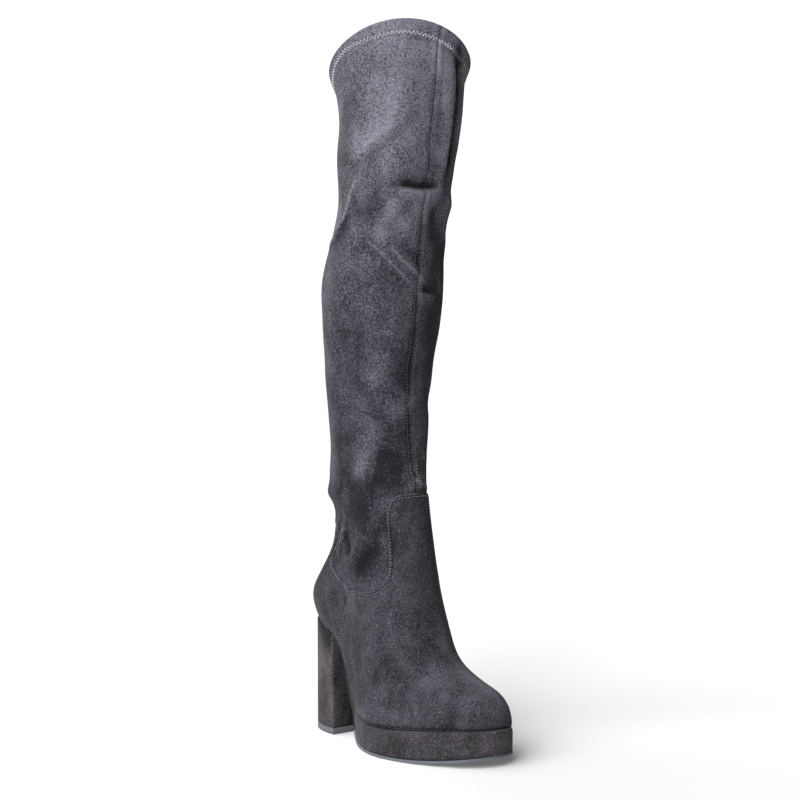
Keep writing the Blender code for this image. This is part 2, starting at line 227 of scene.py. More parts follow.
# Soft troughs (inward) and ridges of the empty leg, by how far they stand out in millimetres
CREASES = soft_lines(
    # pocket over the knee, its lower lip and the swell over it
    (-1.6, 6, 1.2, (-30, 112, 430.5), (-24, 119, 432), (-18, 123, 432.3), (-10, 127, 431.8), (0, 129, 430.3),
     (11, 130, 429.8), (19, 129, 430.5), (26, 127, 431.5)),
    (-4.5, 4.0, 0.8, (-17, 124, 433), (-12, 126, 432.6), (-7, 127, 432), (0, 129, 430.8), (11, 130, 430.3),
     (18, 129, 430.6), (23, 128, 431)),
    (1.9, 1.2, 8, (-24, 119, 430), (-18, 123, 430.2), (-8, 127, 429.3), (6, 130, 427.6), (18, 129, 428),
     (26, 126, 429)),
    (1.4, 12, 9, (-22, 121, 452), (-4, 129, 450), (14, 131, 449)),
    # hollow beside the seam under the knee
    (-2.4, 5, 6, (18, 126, 384), (20, 127, 402), (20, 128, 420)),
    # edge along which the leg lay flat, and the hollow behind it on the inner side
    (2.4, 9, 2.5, (25, 127, 425), (25, 129, 445), (27, 130, 460), (30, 131, 479), (31, 133, 498), (30, 135, 513),
     (29, 136, 525), (26, 139, 537)),
    (-3.5, 2.5, 4, *FLAT_HOLLOW),
    (2.0, 5, 9, (37, 124, 440), (43, 122, 460), (47, 121, 480), (50, 120, 500), (51, 122, 514), (46, 130, 526),
     (40, 135, 538)),
    # inner side of the leg, drawn full
    (2.5, 10, 10, (20, 113, 212), (21, 112, 230), (23, 110, 251), (23, 110, 267), (26, 110, 282), (27, 111, 298),
     (30, 112, 313), (31, 114, 329), (32, 115, 344), (32, 116, 360), (32, 117, 376), (32, 118, 391), (35, 119, 406),
     (39, 119, 422), (38, 123, 445)),
    (2.2, 7, 3.5, (25, 120, 338), (27, 119, 360), (30, 118, 385), (32, 119, 405)),
    # slant fold up the thigh
    (1.8, 10, 4, (-37, 92, 444), (-36, 100, 452), (-27, 117, 467), (-13, 129, 484), (0, 134, 500)),
    (-1.3, 3, 9, (-36, 102, 447), (-25, 119, 462), (-10, 130, 478)),
    # ridge that runs from the knee to the back
    (1.8, 2.6, 1.4, *KNEE_RIDGE),
    (-1.5, 1.4, 7, (-34, 66, 383), (-37, 76, 391), (-37, 84, 400), (-38, 90, 410), (-37, 97, 420)),
    # folds under the knee, on the outer side and across the front
    (2.4, 6, 5, (-28, 111, 393), (-23, 117, 405), (-15, 123, 420), (-11, 126, 426)),
    (-1.5, 6, 5, (-22, 116, 391), (-14, 122, 400), (-8, 125, 408)),
    (1.8, 1.8, 1.0, (-36, 99, 396), (-32, 106, 391), (-29, 109, 388), (-25, 114, 383), (-20, 117, 377),
     (-15, 121, 370), (-9, 123, 364), (-3, 124, 358), (3, 124, 352)),
    (-1.6, 1.2, 5, (-34, 102, 389), (-30, 107, 385), (-26, 111, 381), (-18, 117, 372), (-12, 121, 364),
     (-5, 123, 356)),
    (1.6, 2.0, 1.2, (-21, 117, 389), (-15, 120, 383), (-11, 122, 378), (-4, 123, 372), (2, 124, 366), (10, 124, 360),
     (15, 123, 355)),
    (-2.2, 4.5, 3.0, (-12, 121, 390), (-3, 124, 381), (4, 124, 375), (10, 124, 368)),
    (-2.4, 4, 1.4, (6, 124, 354), (15, 123, 351), (26, 119, 350)),
    (1.5, 1.2, 5, (4, 124, 350), (15, 123, 348), (25, 119, 347)),
    (1.4, 1.6, 1.6, (27, 117, 336), (26, 119, 349), (24, 121, 360), (25, 120, 373)),
    # shallow dents of the shin
    (-1.6, 10, 10, (-12, 114, 285), (-2, 117, 288), (8, 117, 292)),
    (1.2, 10, 9, (-32, 92, 214), (-31, 97, 228), (-29, 103, 246)),
    (-1.6, 8, 9, (-22, 108, 214), (-16, 113, 226), (-10, 116, 238)),
    (1.5, 2.0, 3.5, (3, 118, 237), (12, 117, 230), (16, 116, 224), (18, 115, 216)),
    # roll that sits on the tongue's edge
    (1.6, 4.0, 2.0, (-10, 122, 208), *TONGUE_ROLL),
    (-1.0, 4, 2.5, (-14, 118, 211), (-4, 121, 213), (8, 120, 211), (15, 116, 208)),
    # tucks over the ankle and behind it
    (-1.2, 1.6, 0.9, *ANKLE_TUCK),
    (1.8, 0.9, 3.0, *ANKLE_FOLD),
    (-2.4, 4, 4, (-30, 75, 165), (-31, 80, 156), (-33, 86, 147)),
    (2.6, 4.5, 4, (-34, 87, 142), (-33, 95, 154), (-31, 100, 164), (-28, 104, 172)),
    (-3.2, 4, 6, (-34, 96, 133), (-33, 102, 143), (-30, 109, 152), (-25, 115, 161)),
    (3.6, 7, 7, (-16, 40, 192), (-24, 46, 192), (-27, 54, 191), (-30, 66, 191), (-32, 78, 192)),
    (-1.5, 8, 7, (-24, 48, 176), (-28, 60, 176), (-31, 74, 178)),
    # the same slump on the inner side and behind the knee
    (-1.4, 8, 4, (38, 116, 429), (44, 110, 427), (51, 96, 420)),
    (1.8, 6, 9, (28, 124, 424), (40, 114, 420), (50, 98, 413)),
    (2.0, 6, 6, (50, 96, 392), (48, 80, 385), (40, 60, 376)),
    (-2.0, 5, 6, (52, 94, 404), (50, 80, 396), (44, 62, 388)),
    (-2.2, 7, 5, (34, 44, 428), (10, 52, 424), (-14, 58, 428)),
    (1.8, 8, 7, (36, 40, 412), (10, 42, 408), (-18, 52, 411)),
    (1.6, 7, 6, (28, 104, 160), (31, 92, 150), (31, 82, 142)),
    (-2.0, 6, 6, (30, 98, 148), (31, 88, 138), (29, 76, 132)),
    (1.8, 8, 7, (28, 66, 192), (24, 50, 190), (14, 38, 190)),
    (-1.8, 7, 6, (29, 70, 176), (25, 54, 174), (14, 42, 174), (0, 40, 173), (-14, 42, 174)),
    (-1.4, 10, 10, (14, 116, 270), (28, 108, 266), (36, 96, 258)),
)
SLUMP = 0.7 * MM
SLUMP_SCALE = 22.0
SLUMP_FROM, SLUMP_EASE = 160 * MM, 60 * MM
SLUMP_UNDER_RIM = 30 * MM
CREASE_ENDS = 4
BEFORE_SHIN = (0, 150, 300)
OUTER_FACES = math.radians(70)
WALL = 1.8 * MM
RIM_ROUND = 0.7 * MM
RIM_ANGLE = math.radians(75)

upper = copy_of("upper", "upper_suede")
before_shin = Vector(place(*BEFORE_SHIN))
min(upper.data.polygons, key=lambda face: (face.center - before_shin).length).select = True
bpy.ops.object.mode_set(mode="EDIT")
bpy.ops.mesh.faces_select_linked_flat(sharpness=OUTER_FACES)
bpy.ops.mesh.select_all(action="INVERT")
bpy.ops.mesh.delete(type="FACE")
bpy.ops.object.mode_set(mode="OBJECT")
apply_modifier(upper, "SUBSURF", levels=2, render_levels=2, boundary_smooth="PRESERVE_CORNERS")

# The front seam stands in the middle of the leg, which leans inward as it rises
Seam = namedtuple("Seam", "up across")
FRONT_SEAM = [Seam(190, 0), Seam(250, 0.5), Seam(300, 1.5), Seam(358, 3), Seam(385, 4.5), Seam(430, 6.5),
              Seam(492, 10), Seam(560, 11.5)]
SEAM_FOOT = 198.0
SEAM_GROOVE = 0.7 * MM
SEAM_EDGE = 1.0 * MM
SEAM_BAND = 0.45 * MM
BAND_ASIDE, BAND_WIDE = 3.0 * MM, 2.0 * MM
HEM_STEP = 0.7 * MM
HEM_BAND = 11.0 * MM
HEM_GROOVE = 0.3 * MM
HEM_EDGE = 1.0 * MM
COLLAR_ABOVE = 400 * MM
Hem = namedtuple("Hem", "turn wide")
HEM_WIDTHS = [Hem(-180, 10), Hem(-120, 6.5), Hem(-100, 5.2), Hem(-82, 5.0), Hem(-70, 6.8), Hem(-52, 9.6),
              Hem(-25, 9.4), Hem(-8, 10.4), Hem(25, 10.4), Hem(90, 10.2), Hem(180, 10)]
LEG_ALONG = 84.0
LEG_ACROSS = 8.0
FAR = 1.0
# Creases that are narrower than this get rows of points of their own, by share of their width
SHARP = 3.0
ROW_ABOVE, ROWS_BELOW = 0.6, (0.6, 1.3, 2.2)
ROW_REACH = 6 * MM


def seam_distance(points):
    """Distance of the points in front of the leg from the front seam, toward the inner side."""
    aside = points[:, 0] - (read_off(FRONT_SEAM, points[:, 2] / MM) - MIDDLE_ACROSS) * MM
    in_front = (along_of(points) > LEG_ALONG) & (points[:, 2] > SEAM_FOOT * MM)
    return np.where(in_front, aside, FAR)


def turn_of(points):
    """Where each point lies around the leg, as an angle from its middle."""
    middle = place(LEG_ACROSS, LEG_ALONG, 0)
    return np.arctan2(points[:, 0] - middle[0], -(points[:, 1] - middle[1]))


collar = points_of(upper)[list({index for edge in open_edges(upper) for index in edge})]
collar = collar[collar[:, 2] > COLLAR_ABOVE]
collar = collar[np.argsort(turn_of(collar))]
collar_turns = turn_of(collar)


def rim_height(turns):
    """Height of the collar's edge at an angle around the leg."""
    return np.interp(turns, collar_turns, collar[:, 2], period=2 * math.pi)


def below_rim(points):
    """How far under the collar's edge each point lies."""
    return rim_height(turn_of(points)) - points[:, 2]


def hem_wide(turns):
    """How far under the collar's edge the hem is sewn, at an angle around the leg."""
    return read_off(HEM_WIDTHS, np.degrees(turns)) * MM


def below_hem(points):
    """How far under the hem's stitches each point lies."""
    return below_rim(points) - hem_wide(turn_of(points))


for aside in (-SEAM_EDGE, 0, SEAM_EDGE):
    score(upper, seam_distance(points_of(upper)) - aside)
for aside in (-HEM_EDGE, 0, HEM_EDGE):
    score(upper, below_hem(points_of(upper)) - aside)
for crease in CREASES:
    if min(crease.above, crease.below) < SHARP:
        for aside in (crease.above * ROW_ABOVE, 0, *(-crease.below * row for row in ROWS_BELOW)):
            signed = beside_path(points_of(upper), normals_of(upper), crease.line)[0]
            score(upper, signed - aside * MM, ROW_REACH)

# Outlines of the two panels in the side view; the leg is lapped over the top edge of the counter
Outline = namedtuple("Outline", "along up")
SIDE_SEAM = [Outline(74.5, 40), Outline(74, 66), Outline(75.5, 90), Outline(79.5, 107), Outline(86, 119.5)]
VAMP_EDGE = [Outline(97, 121), Outline(108.5, 120.5), Outline(117.5, 124.5), Outline(122, 132),
             Outline(122.5, 141), Outline(120.5, 156), Outline(117.5, 171), Outline(116, 184),
             Outline(118, 193), Outline(124, 197.5)]
VAMP_FRONT = [Outline(150, 197.5), Outline(260, 197.5), Outline(260, -20), Outline(74.5, -20)]
COUNTER_EDGE = [Outline(83, 118.5), Outline(78, 121.5), Outline(69, 124.5), Outline(61, 130), Outline(54, 135),
                Outline(51, 141), Outline(56, 148), Outline(61.5, 153), Outline(65, 158.5), Outline(63.5, 165),
                Outline(56, 168)]
COUNTER_BACK = [Outline(40, 168), Outline(-30, 168), Outline(-30, -20), Outline(74, -20)]
LAP = 1.35 * MM
LAP_STEP = 0.35 * MM
LAP_FADE = 9.0 * MM
LAP_FOOT = 100 * MM
VAMP_CLEAR = 2 * MM
# The tuck at the ankle, where the lap stands out further
TUCK = 1.6 * MM
TUCK_BACK, TUCK_EASE = 54.0, 6.0
TUCK_UP, TUCK_HALF = 152 * MM, 18 * MM
TUCK_WIDE = 6 * MM
vamp_outline = SIDE_SEAM + VAMP_EDGE + VAMP_FRONT
counter_outline = SIDE_SEAM[:-1] + COUNTER_EDGE + COUNTER_BACK


def outside(points, outline):
    """How far each point lies outside a closed outline in the side view; negative within it."""
    corners = rounded(list(outline) + [outline[0]])
    spots = np.stack([along_of(points), points[:, 2] / MM], axis=1)
    nearest = np.full(len(spots), np.inf)
    within = np.zeros(len(spots), bool)
    for start, end in zip(corners[:-1], corners[1:]):
        run = end - start
        part = np.clip((spots - start) @ run / max(run @ run, 1e-9), 0, 1)
        nearest = np.minimum(nearest, np.linalg.norm(spots - start - part[:, None] * run, axis=1))
        crosses = (start[1] > spots[:, 1]) != (end[1] > spots[:, 1])
        if run[1]:
            within ^= crosses & (spots[:, 0] < start[0] + run[0] * (spots[:, 1] - start[1]) / run[1])
    return np.where(within, -nearest, nearest) * MM


def over_counter(points):
    """Distance above the counter's top edge, and how much of the lap there is."""
    beyond = outside(points, counter_outline)
    clear = np.clip(outside(points, vamp_outline) / VAMP_CLEAR, 0, 1) * (points[:, 2] > LAP_FOOT)
    return beyond, clear


for aside in (0, LAP_STEP):
    score(upper, over_counter(points_of(upper))[0] - aside)

points, normals = points_of(upper), normals_of(upper)
out = MM * drawn(points, normals, CREASES, CREASE_ENDS)
slump = np.array([noise.fractal(Vector(point) * SLUMP_SCALE, 1.0, 2.0, 2) for point in points])
slump *= np.clip((points[:, 2] - SLUMP_FROM) / SLUMP_EASE, 0, 1)
out += SLUMP * slump * np.clip(below_rim(points) / SLUMP_UNDER_RIM, 0, 1)
seam = np.abs(seam_distance(points))
out -= SEAM_GROOVE * np.clip(1 - seam / SEAM_EDGE, 0, 1)
out += SEAM_BAND * np.exp(-((seam - BAND_ASIDE) / BAND_WIDE) ** 2)
hem = below_hem(points)
out -= HEM_GROOVE * np.clip(1 - np.abs(hem) / HEM_EDGE, 0, 1)
out -= HEM_STEP * np.clip(hem / HEM_EDGE, 0, 1) * np.clip((HEM_BAND - below_rim(points)) / HEM_EDGE, 0, 1)
beyond, clear = over_counter(points)
lap = np.clip(beyond / LAP_STEP, 0, 1) * np.clip(1 - beyond / LAP_FADE, 0, 1)
tucked = np.clip(1 - np.abs(points[:, 2] - TUCK_UP) / TUCK_HALF, 0, 1)
tucked *= np.clip((along_of(points) - TUCK_BACK) / TUCK_EASE, 0, 1)
out += clear * lap * (LAP + TUCK * tucked * np.clip(1 - beyond / TUCK_WIDE, 0, 1))

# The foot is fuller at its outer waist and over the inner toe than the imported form, and its lower edge lies
# lower at both ends. The slant runs from the outer waist to the inner toe. The full forms are tables of
# height and distance, the lower edge is one of place on the slant and drop
SLANT = np.array([0.78, -0.62, 0.0])
UPWARD = np.array([0.0, 0.0, 1.0])
WAIST_FULL = [(0, 5.0), (15, 4.2), (30, 5.0), (38, 3.5), (46, 1.5), (54, 0)]
EDGE_LOW = [(-60, 6), (-46, 5.5), (-35, 3.5), (-22, 1.5), (-5, 0), (24, 0), (36, 1.7), (46, 2.9), (68, 3.4)]
TOE_FULL = [(24, 0.5), (32, 1.2), (40, 2.6), (48, 3.2), (56, 2.0), (66, 0.4), (75, 0)]
TOE_CORNER = 52.0
CORNER_CUT = 0.2
WAIST_SIDE, WAIST_EASE = -18, 22
ARCH_FRONT, ARCH_EASE = 84, 12
TREAD_TOP, TREAD_EASE = 8, 14
SHANK_LOW, SHANK_EASE = 15, 15
TOE_SIDE, TOE_EASE = 40, 25
TOE_BACK, TOE_RUN = 165, 20
FOOT_TOP, FOOT_EASE = 46, 14
# The counter's lower edge, by place along the foot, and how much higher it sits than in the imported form
SEAT_EDGE = [(12, 88), (28, 85), (44, 78), (52, 71), (60, 66), (68, 58), (76, 52), (84, 43)]
SEAT_RISE = [(15, 6), (36, 6.5), (44, 8), (54, 12), (68, 13), (72, 12), (76, 7), (80, 2), (84, 0)]
SEAT_FADE = 45.0
# The upper's lower edge at the inner waist, tucked a little further down behind the platform's lip
INNER_EDGE = [(76, 54), (80, 48.5), (84, 44), (88, 40.5), (92, 37.5), (96, 35), (100, 33), (104, 31.5), (108, 30)]
INNER_TUCK = [(74, 0), (82, 2.2), (92, 3.0), (110, 3.0), (120, 0)]
INNER_FADE = 9.0
INNER_FROM = 10 * MM


def seat_rise(points):
    """How much higher the heel seat lies at each point, in millimetres."""
    return read_off(SEAT_RISE, along_of(points))


def lifted(points, rise):
    """Points raised by so many millimetres each."""
    return points + MM * rise[:, None] * UPWARD


def settle_foot(points, sole):
    """The points of the foot, or of the sole under it, moved to the fuller form."""
    slant, along, up = points @ SLANT / MM, along_of(points), points[:, 2] / MM
    shift = -read_off(WAIST_FULL, up) * eased((WAIST_SIDE - slant) / WAIST_EASE)
    low = read_off(EDGE_LOW, slant) * np.clip((along - ARCH_FRONT) / ARCH_EASE, 0, 1)
    if sole:
        shift -= CORNER_CUT * np.clip(slant - TOE_CORNER, 0, None)
        low *= np.clip((up - TREAD_TOP) / TREAD_EASE, 0, 1)
        low -= seat_rise(points) * eased((up - SHANK_LOW) / SHANK_EASE)
    else:
        toe = eased((slant - TOE_SIDE) / TOE_EASE) * np.clip((along - TOE_BACK) / TOE_RUN, 0, 1)
        shift += read_off(TOE_FULL, up) * toe
        low *= np.clip((FOOT_TOP - up) / FOOT_EASE, 0, 1)
        low -= seat_rise(points) * eased((read_off(SEAT_EDGE, along) + SEAT_FADE - up) / SEAT_FADE)
        inner = np.clip((read_off(INNER_EDGE, along) + INNER_FADE - up) / INNER_FADE, 0, 1)
        low += read_off(INNER_TUCK, along) * inner * np.clip(points[:, 0] / INNER_FROM, 0, 1)
    return points + MM * (shift[:, None] * SLANT - low[:, None] * UPWARD)


move_points(upper, settle_foot(points + out[:, None] * normals, False))

# Brushed nap, painted shade in creases and hollows, painted highlights on ridges: by how light they are
LEG_NAP_AND_PAINTED_LIGHT = soft_lines(
    (0.30, 12, 6, (-38, 94, 450), (-35, 105, 460), (-25, 119, 478), (-19, 126, 498), (-17, 128, 510),
     (-15, 130, 522)),
    (0.20, 1.2, 1.0, (-38, 92, 449), (-37, 99, 455), (-34, 106, 461), (-31, 112, 466), (-27, 117, 471)),
    (-0.18, 1.5, 8, (-37, 98, 451), (-31, 112, 463), (-22, 122, 473), (-8, 131, 486)),
    (-0.20, 12, 12, (-38, 88, 474), (-37, 92, 490), (-36, 93, 505)),
    (0.18, 10, 10, (-30, 66, 500), (-32, 72, 485), (-36, 80, 465)),
    (-0.80, 4.6, 0.8, (-15, 125, 433), (-7, 127, 432.3), (0, 129, 431.1), (11, 130, 430.6), (18, 129, 431),
     (23, 128, 431.6)),
    (-0.18, 8, 1.0, (-26, 120, 432.5), (-10, 127, 432.3), (5, 130, 430.8), (22, 128, 431.6)),
    (0.45, 1.2, 8, (-18, 123, 429.8), (-8, 127, 429.3), (8, 130, 427.3), (24, 127, 428.5)),
    (0.35, 5, 5, (27, 127, 437), (23, 128, 431), (20, 128, 423)),
    (0.65, 6, 5, (-29, 110, 391), (-23, 115, 397), (-19, 120, 405), (-16, 123, 418), (-14, 125, 424)),
    (-0.25, 10, 9, (-34, 105, 405), (-31, 108, 416), (-27, 115, 426)),
    (0.60, 1.3, 1.0, *KNEE_RIDGE),
    (0.25, 6, 1, (-33, 62, 388), (-37, 74, 397), (-38, 86, 410)),
    (0.20, 6, 3, (-38, 88, 415), (-38, 94, 426), (-36, 102, 440)),
    (-0.20, 1, 8, (-34, 66, 382), (-37, 74, 391), (-38, 84, 404), (-38, 94, 415)),
    (0.45, 1.3, 1.0, (-34, 103, 393), (-29, 109, 388), (-25, 114, 383), (-20, 117, 377), (-15, 121, 370),
     (-9, 123, 364), (-3, 124, 358)),
    (-0.20, 1.2, 4, (-30, 107, 384), (-26, 111, 380), (-18, 117, 371), (-10, 122, 362), (-4, 124, 355)),
    (0.50, 1.4, 1.2, (-20, 118, 388), (-15, 120, 383), (-11, 122, 378), (-4, 123, 372), (2, 124, 366), (10, 124, 360),
     (15, 123, 355)),
    (-0.35, 5, 3, (-11, 122, 389), (-3, 124, 381), (4, 124, 375), (10, 124, 368)),
    (-0.40, 5, 6, (20, 121, 362), (22, 121, 376), (23, 122, 389), (18, 125, 404), (17, 128, 419)),
    (-0.40, 8, 1.2, (8, 124, 354), (15, 123, 351.5), (24, 120, 350)),
    (0.30, 1.0, 5, (6, 124, 349), (15, 123, 347.5), (22, 120, 347)),
    (0.30, 1.2, 1.2, (27, 117, 339), (26, 119, 349), (24, 121, 360), (25, 120, 370)),
    (0.15, 14, 14, (-37, 90, 360), (-33, 99, 345), (-27, 107, 330)),
    (-0.18, 11, 11, (-10, 115, 286), (0, 117, 288), (8, 117, 292)),
    (0.25, 6, 6, (-24, 108, 276), (-26, 107, 285), (-27, 107, 293)),
    (0.16, 7, 7, (-30, 103, 248), (-32, 100, 261), (-33, 99, 275)),
    (0.50, 8, 7, (-31, 88, 206), (-30, 97, 218), (-29, 101, 229), (-27, 105, 242), (-24, 108, 256)),
    (-0.30, 1.5, 10, (-26, 104, 203), (-24, 108, 214), (-23, 109, 224), (-20, 111, 236)),
    (-0.08, 8, 8, (-12, 119, 209), (-15, 116, 221), (-16, 114, 231), (-14, 114, 244)),
    (-0.18, 6, 6, (-32, 78, 207), (-34, 79, 219), (-36, 78, 232)),
    (-0.08, 15, 15, (-30, 70, 205), (-31, 90, 192), (-27, 104, 184)),
    (0.35, 1.5, 2.0, (4, 118, 236), (12, 117, 230), (16, 116, 224), (17, 116, 218)),
    (0.95, 1.3, 1.0, *TONGUE_ROLL),
    (-0.20, 1.2, 1.6, (2, 124, 203), (10, 123, 200.5), (18, 118, 198)),
    (0.22, 5, 4, (-34, 90, 144), (-33, 95, 153), (-30, 102, 165)),
    (-0.35, 5, 6, (-34, 96, 134), (-33, 102, 143), (-30, 109, 152), (-25, 115, 160)),
    (-0.55, 4, 4, (-30, 77, 166), (-31, 80, 156), (-33, 86, 148)),
    (-0.60, 1.4, 1.2, *ANKLE_TUCK),
    (0.55, 0.9, 2.0, *ANKLE_FOLD),
    (0.22, 6, 6, (-32, 84, 204), (-30, 94, 214), (-29, 100, 224)),
    # painted shade on the inner side and in the hollow behind the flattened leg's edge, painted highlight on the edge
    (-0.16, 22, 16, (22, 113, 215), (24, 114, 260), (26, 115, 310), (28, 118, 360), (31, 120, 415)),
    (-0.70, 3.0, 4.5, *FLAT_HOLLOW, (29, 141, 550)),
    (0.60, 10, 6, (20, 130, 446), (22, 132, 480), (23, 135, 510), (22, 139, 538)),
    (-0.22, 7, 7, (30, 121, 420), (28, 122, 405), (26, 120, 376), (23, 121, 353), (22, 119, 329), (21, 116, 308),
     (19, 113, 284), (17, 113, 262)),
    # marks of hands and of the slump, with painted shade and highlights on the folds, from the top down
    (0.25, 6, 6, (-34, 119, 552), (-19, 133, 554)),
    (-0.50, 5, 5, (-16, 130, 542), (6, 142, 550)),
    (-0.35, 5, 5, (22, 141, 543), (31, 136, 532), (43, 129, 522)),
    (0.95, 6, 6, (10, 140, 545), (11, 139, 531), (11, 139, 514)),
    (-0.50, 6, 6, (16, 136, 497), (19, 134, 479), (18, 133, 461)),
    (-0.24, 12, 12, (-34, 78, 492), (-37, 85, 468), (-38, 84, 443)),
    (0.20, 11, 11, (-30, 113, 475), (-24, 120, 456), (-18, 124, 436)),
    (-0.12, 8, 8, (-37, 97, 431), (-29, 113, 430), (-19, 122, 427)),
    (0.35, 8, 7, (-18, 120, 400), (-1, 127, 413), (10, 129, 422), (28, 126, 433)),
    (0.30, 5, 5, (8, 127, 402), (10, 128, 417), (21, 128, 425), (26, 127, 431)),
    (0.20, 4, 4, (11, 124, 378), (6, 124, 365), (2, 124, 352)),
    (-0.20, 6, 6, (-36, 100, 393), (-29, 109, 388), (-22, 116, 386)),
    (0.28, 8, 8, (-45, 74, 341), (-42, 71, 310), (-39, 68, 280)),
    (-0.12, 9, 9, (-39, 102, 345), (-37, 99, 312), (-35, 97, 288), (-33, 99, 250)),
    (0.20, 8, 8, (-26, 115, 342), (-20, 114, 312), (-26, 107, 278), (-18, 112, 260), (-20, 111, 222)),
    (-0.18, 7, 7, (-15, 114, 284), (-6, 117, 295), (2, 118, 308)),
    (0.25, 7, 7, (-17, 112, 264), (-3, 116, 269), (9, 116, 268)),
    (0.20, 7, 7, (-39, 75, 267), (-37, 73, 235)),
    (-0.20, 8, 8, (-28, 101, 197), (-20, 114, 208), (-8, 121, 213)),
    (0.20, 4, 4, (0, 120, 222), (0, 125, 206), (-3, 127, 198)),
    (-0.14, 7, 7, (-27, 99, 188), (-29, 99, 164)),
    (0.12, 8, 8, (-23, 53, 186), (-30, 72, 194), (-30, 86, 189)),
    (0.14, 5, 5, (-26, 107, 168), (-21, 114, 188), (-12, 123, 196)),
    (-0.25, 4, 4, (-14, 135, 551), (-2, 139, 547), (8, 140, 543), (18, 140, 541)),
    (-0.40, 1.2, 1.6, (-14, 133, 546.5), (-5, 137, 543), (3, 139, 541), (13, 140, 538), (23, 138, 535),
     (30, 137, 531)),
    (-0.16, 13, 13, (-36, 91, 508), (-37, 89, 483), (-38, 93, 468), (-38, 96, 452), (-38, 88, 436), (-37, 82, 422)),
    (-0.20, 6, 6, (-40, 90, 540), (-37, 88, 524), (-37, 89, 510)),
    (0.22, 5, 5, (30, 130, 476), (28, 130, 464), (25, 130, 452), (22, 129, 443), (20, 129, 435)),
    (0.50, 6, 6, (-36, 82, 424), (-35, 75, 410), (-32, 62, 394), (-26, 50, 384)),
    (0.26, 7, 7, (-38, 73, 262), (-36, 68, 248), (-32, 62, 231), (-29, 60, 211), (-27, 57, 198)),
    (-0.16, 6, 6, (-33, 89, 230), (-32, 87, 211), (-31, 89, 196)),
    (0.18, 6, 6, (-25, 108, 182), (-21, 114, 189), (-15, 123, 195), (-3, 126, 200), (6, 124, 205), (13, 120, 210)),
    (0.22, 6, 6, (19, 118, 318), (17, 117, 306), (15, 116, 295), (13, 115, 284), (11, 115, 272)),
    (0.36, 7, 7, (13, 116, 280), (7, 116, 271), (0, 116, 262), (-13, 114, 258), (-21, 112, 256)),
    (-0.16, 6, 6, (-33, 82, 142), (-33, 89, 139), (-34, 98, 133), (-33, 106, 137), (-30, 111, 143)),
    (-0.45, 4, 6, (38, 131, 496), (37, 132, 506), (36, 133, 517), (35, 134, 526), (33, 137, 538), (30, 140, 547)),
    (0.50, 6, 6, (44, 122, 466), (48, 121, 484), (50, 120, 500), (51, 121, 512), (48, 127, 526)),
    (0.22, 6, 6, (13, 115, 272), (11, 116, 258), (9, 116, 244), (9, 117, 232)),
    (0.50, 5, 5, (17, 138, 542), (18, 137, 528), (19, 136, 514), (20, 134, 498), (21, 133, 484)),
    (-0.25, 5, 5, (30, 119, 388), (28, 119, 372), (27, 119, 358), (25, 118, 342)),
    (0.30, 5, 5, (35, 121, 424), (33, 120, 410), (31, 119, 396), (30, 119, 386)),
    (0.25, 5, 5, (-8, 125, 202), (0, 125, 204), (8, 124, 206), (15, 120, 212)),
)
Height = namedtuple("Height", "up light")
# Painted light: the leg is made lighter toward its top, where more light falls, and darker over the ankle
PAINTED_LIGHT_BY_HEIGHT = [Height(0, 0), Height(118, -0.10), Height(150, -0.30), Height(205, -0.33), Height(260, -0.23),
                 Height(330, -0.13), Height(420, -0.01), Height(470, 0.28), Height(525, 0.34), Height(545, 0.76),
                 Height(560, 0.88)]
STROKE_ENDS = 6
# Painted shade and highlights beside the front seam and beside an edge: distance and how light
# the seam's groove is given painted shade, and the band beside it a faint painted highlight
SEAM_PAINTED_LIGHT = [(-4.5, 0), (-2.4, -0.25), (-0.6, -0.35), (1.2, -0.25), (2.2, 0.08), (6.5, 0.08), (9, 0)]
# an edge gets a painted highlight, and painted shade where its stitches sink
EDGE_PAINTED_LIGHT = [(0, 0.2), (0.5, 0.15), (0.9, -0.1), (1.4, -0.3), (2.0, -0.4), (2.7, -0.2), (3.6, 0)]


def lay_nap_and_painted_light(piece, light):
    """Stores at a piece's vertices how light its nap is, with the painted light and shade included."""
    layer = piece.data.attributes.new("nap_and_painted_light", "FLOAT", "POINT")
    layer.data.foreach_set("value", light)


def brush_nap_and_painted_light(piece, light):
    """Makes the nap and the painted light and shade stored at a piece's vertices lighter or darker."""
    layer = piece.data.attributes["nap_and_painted_light"]
    stored = np.empty(len(layer.data))
    layer.data.foreach_get("value", stored)
    layer.data.foreach_set("value", stored + light)


class Value:
    """One value in a finish. Sums written with values become Math nodes."""

    def __init__(self, finish, socket):
        self.finish = finish
        self.socket = socket

    def sum(self, operation, first, second):
        return self.finish.node("ShaderNodeMath", {"operation": operation}, {0: first, 1: second})

    def __add__(self, other):
        return self.sum("ADD", self, other)

    def __radd__(self, other):
        return self.sum("ADD", other, self)

    def __sub__(self, other):
        return self.sum("SUBTRACT", self, other)

    def __rsub__(self, other):
        return self.sum("SUBTRACT", other, self)

    def __mul__(self, other):
        return self.sum("MULTIPLY", self, other)

    def __rmul__(self, other):
        return self.sum("MULTIPLY", other, self)

    def within(self, low, high):
        """0 at low, 1 at high, eased between them."""
        return self.finish.node("ShaderNodeMapRange", {"interpolation_type": "SMOOTHSTEP"},
                                {"Value": self, "From Min": low, "From Max": high})


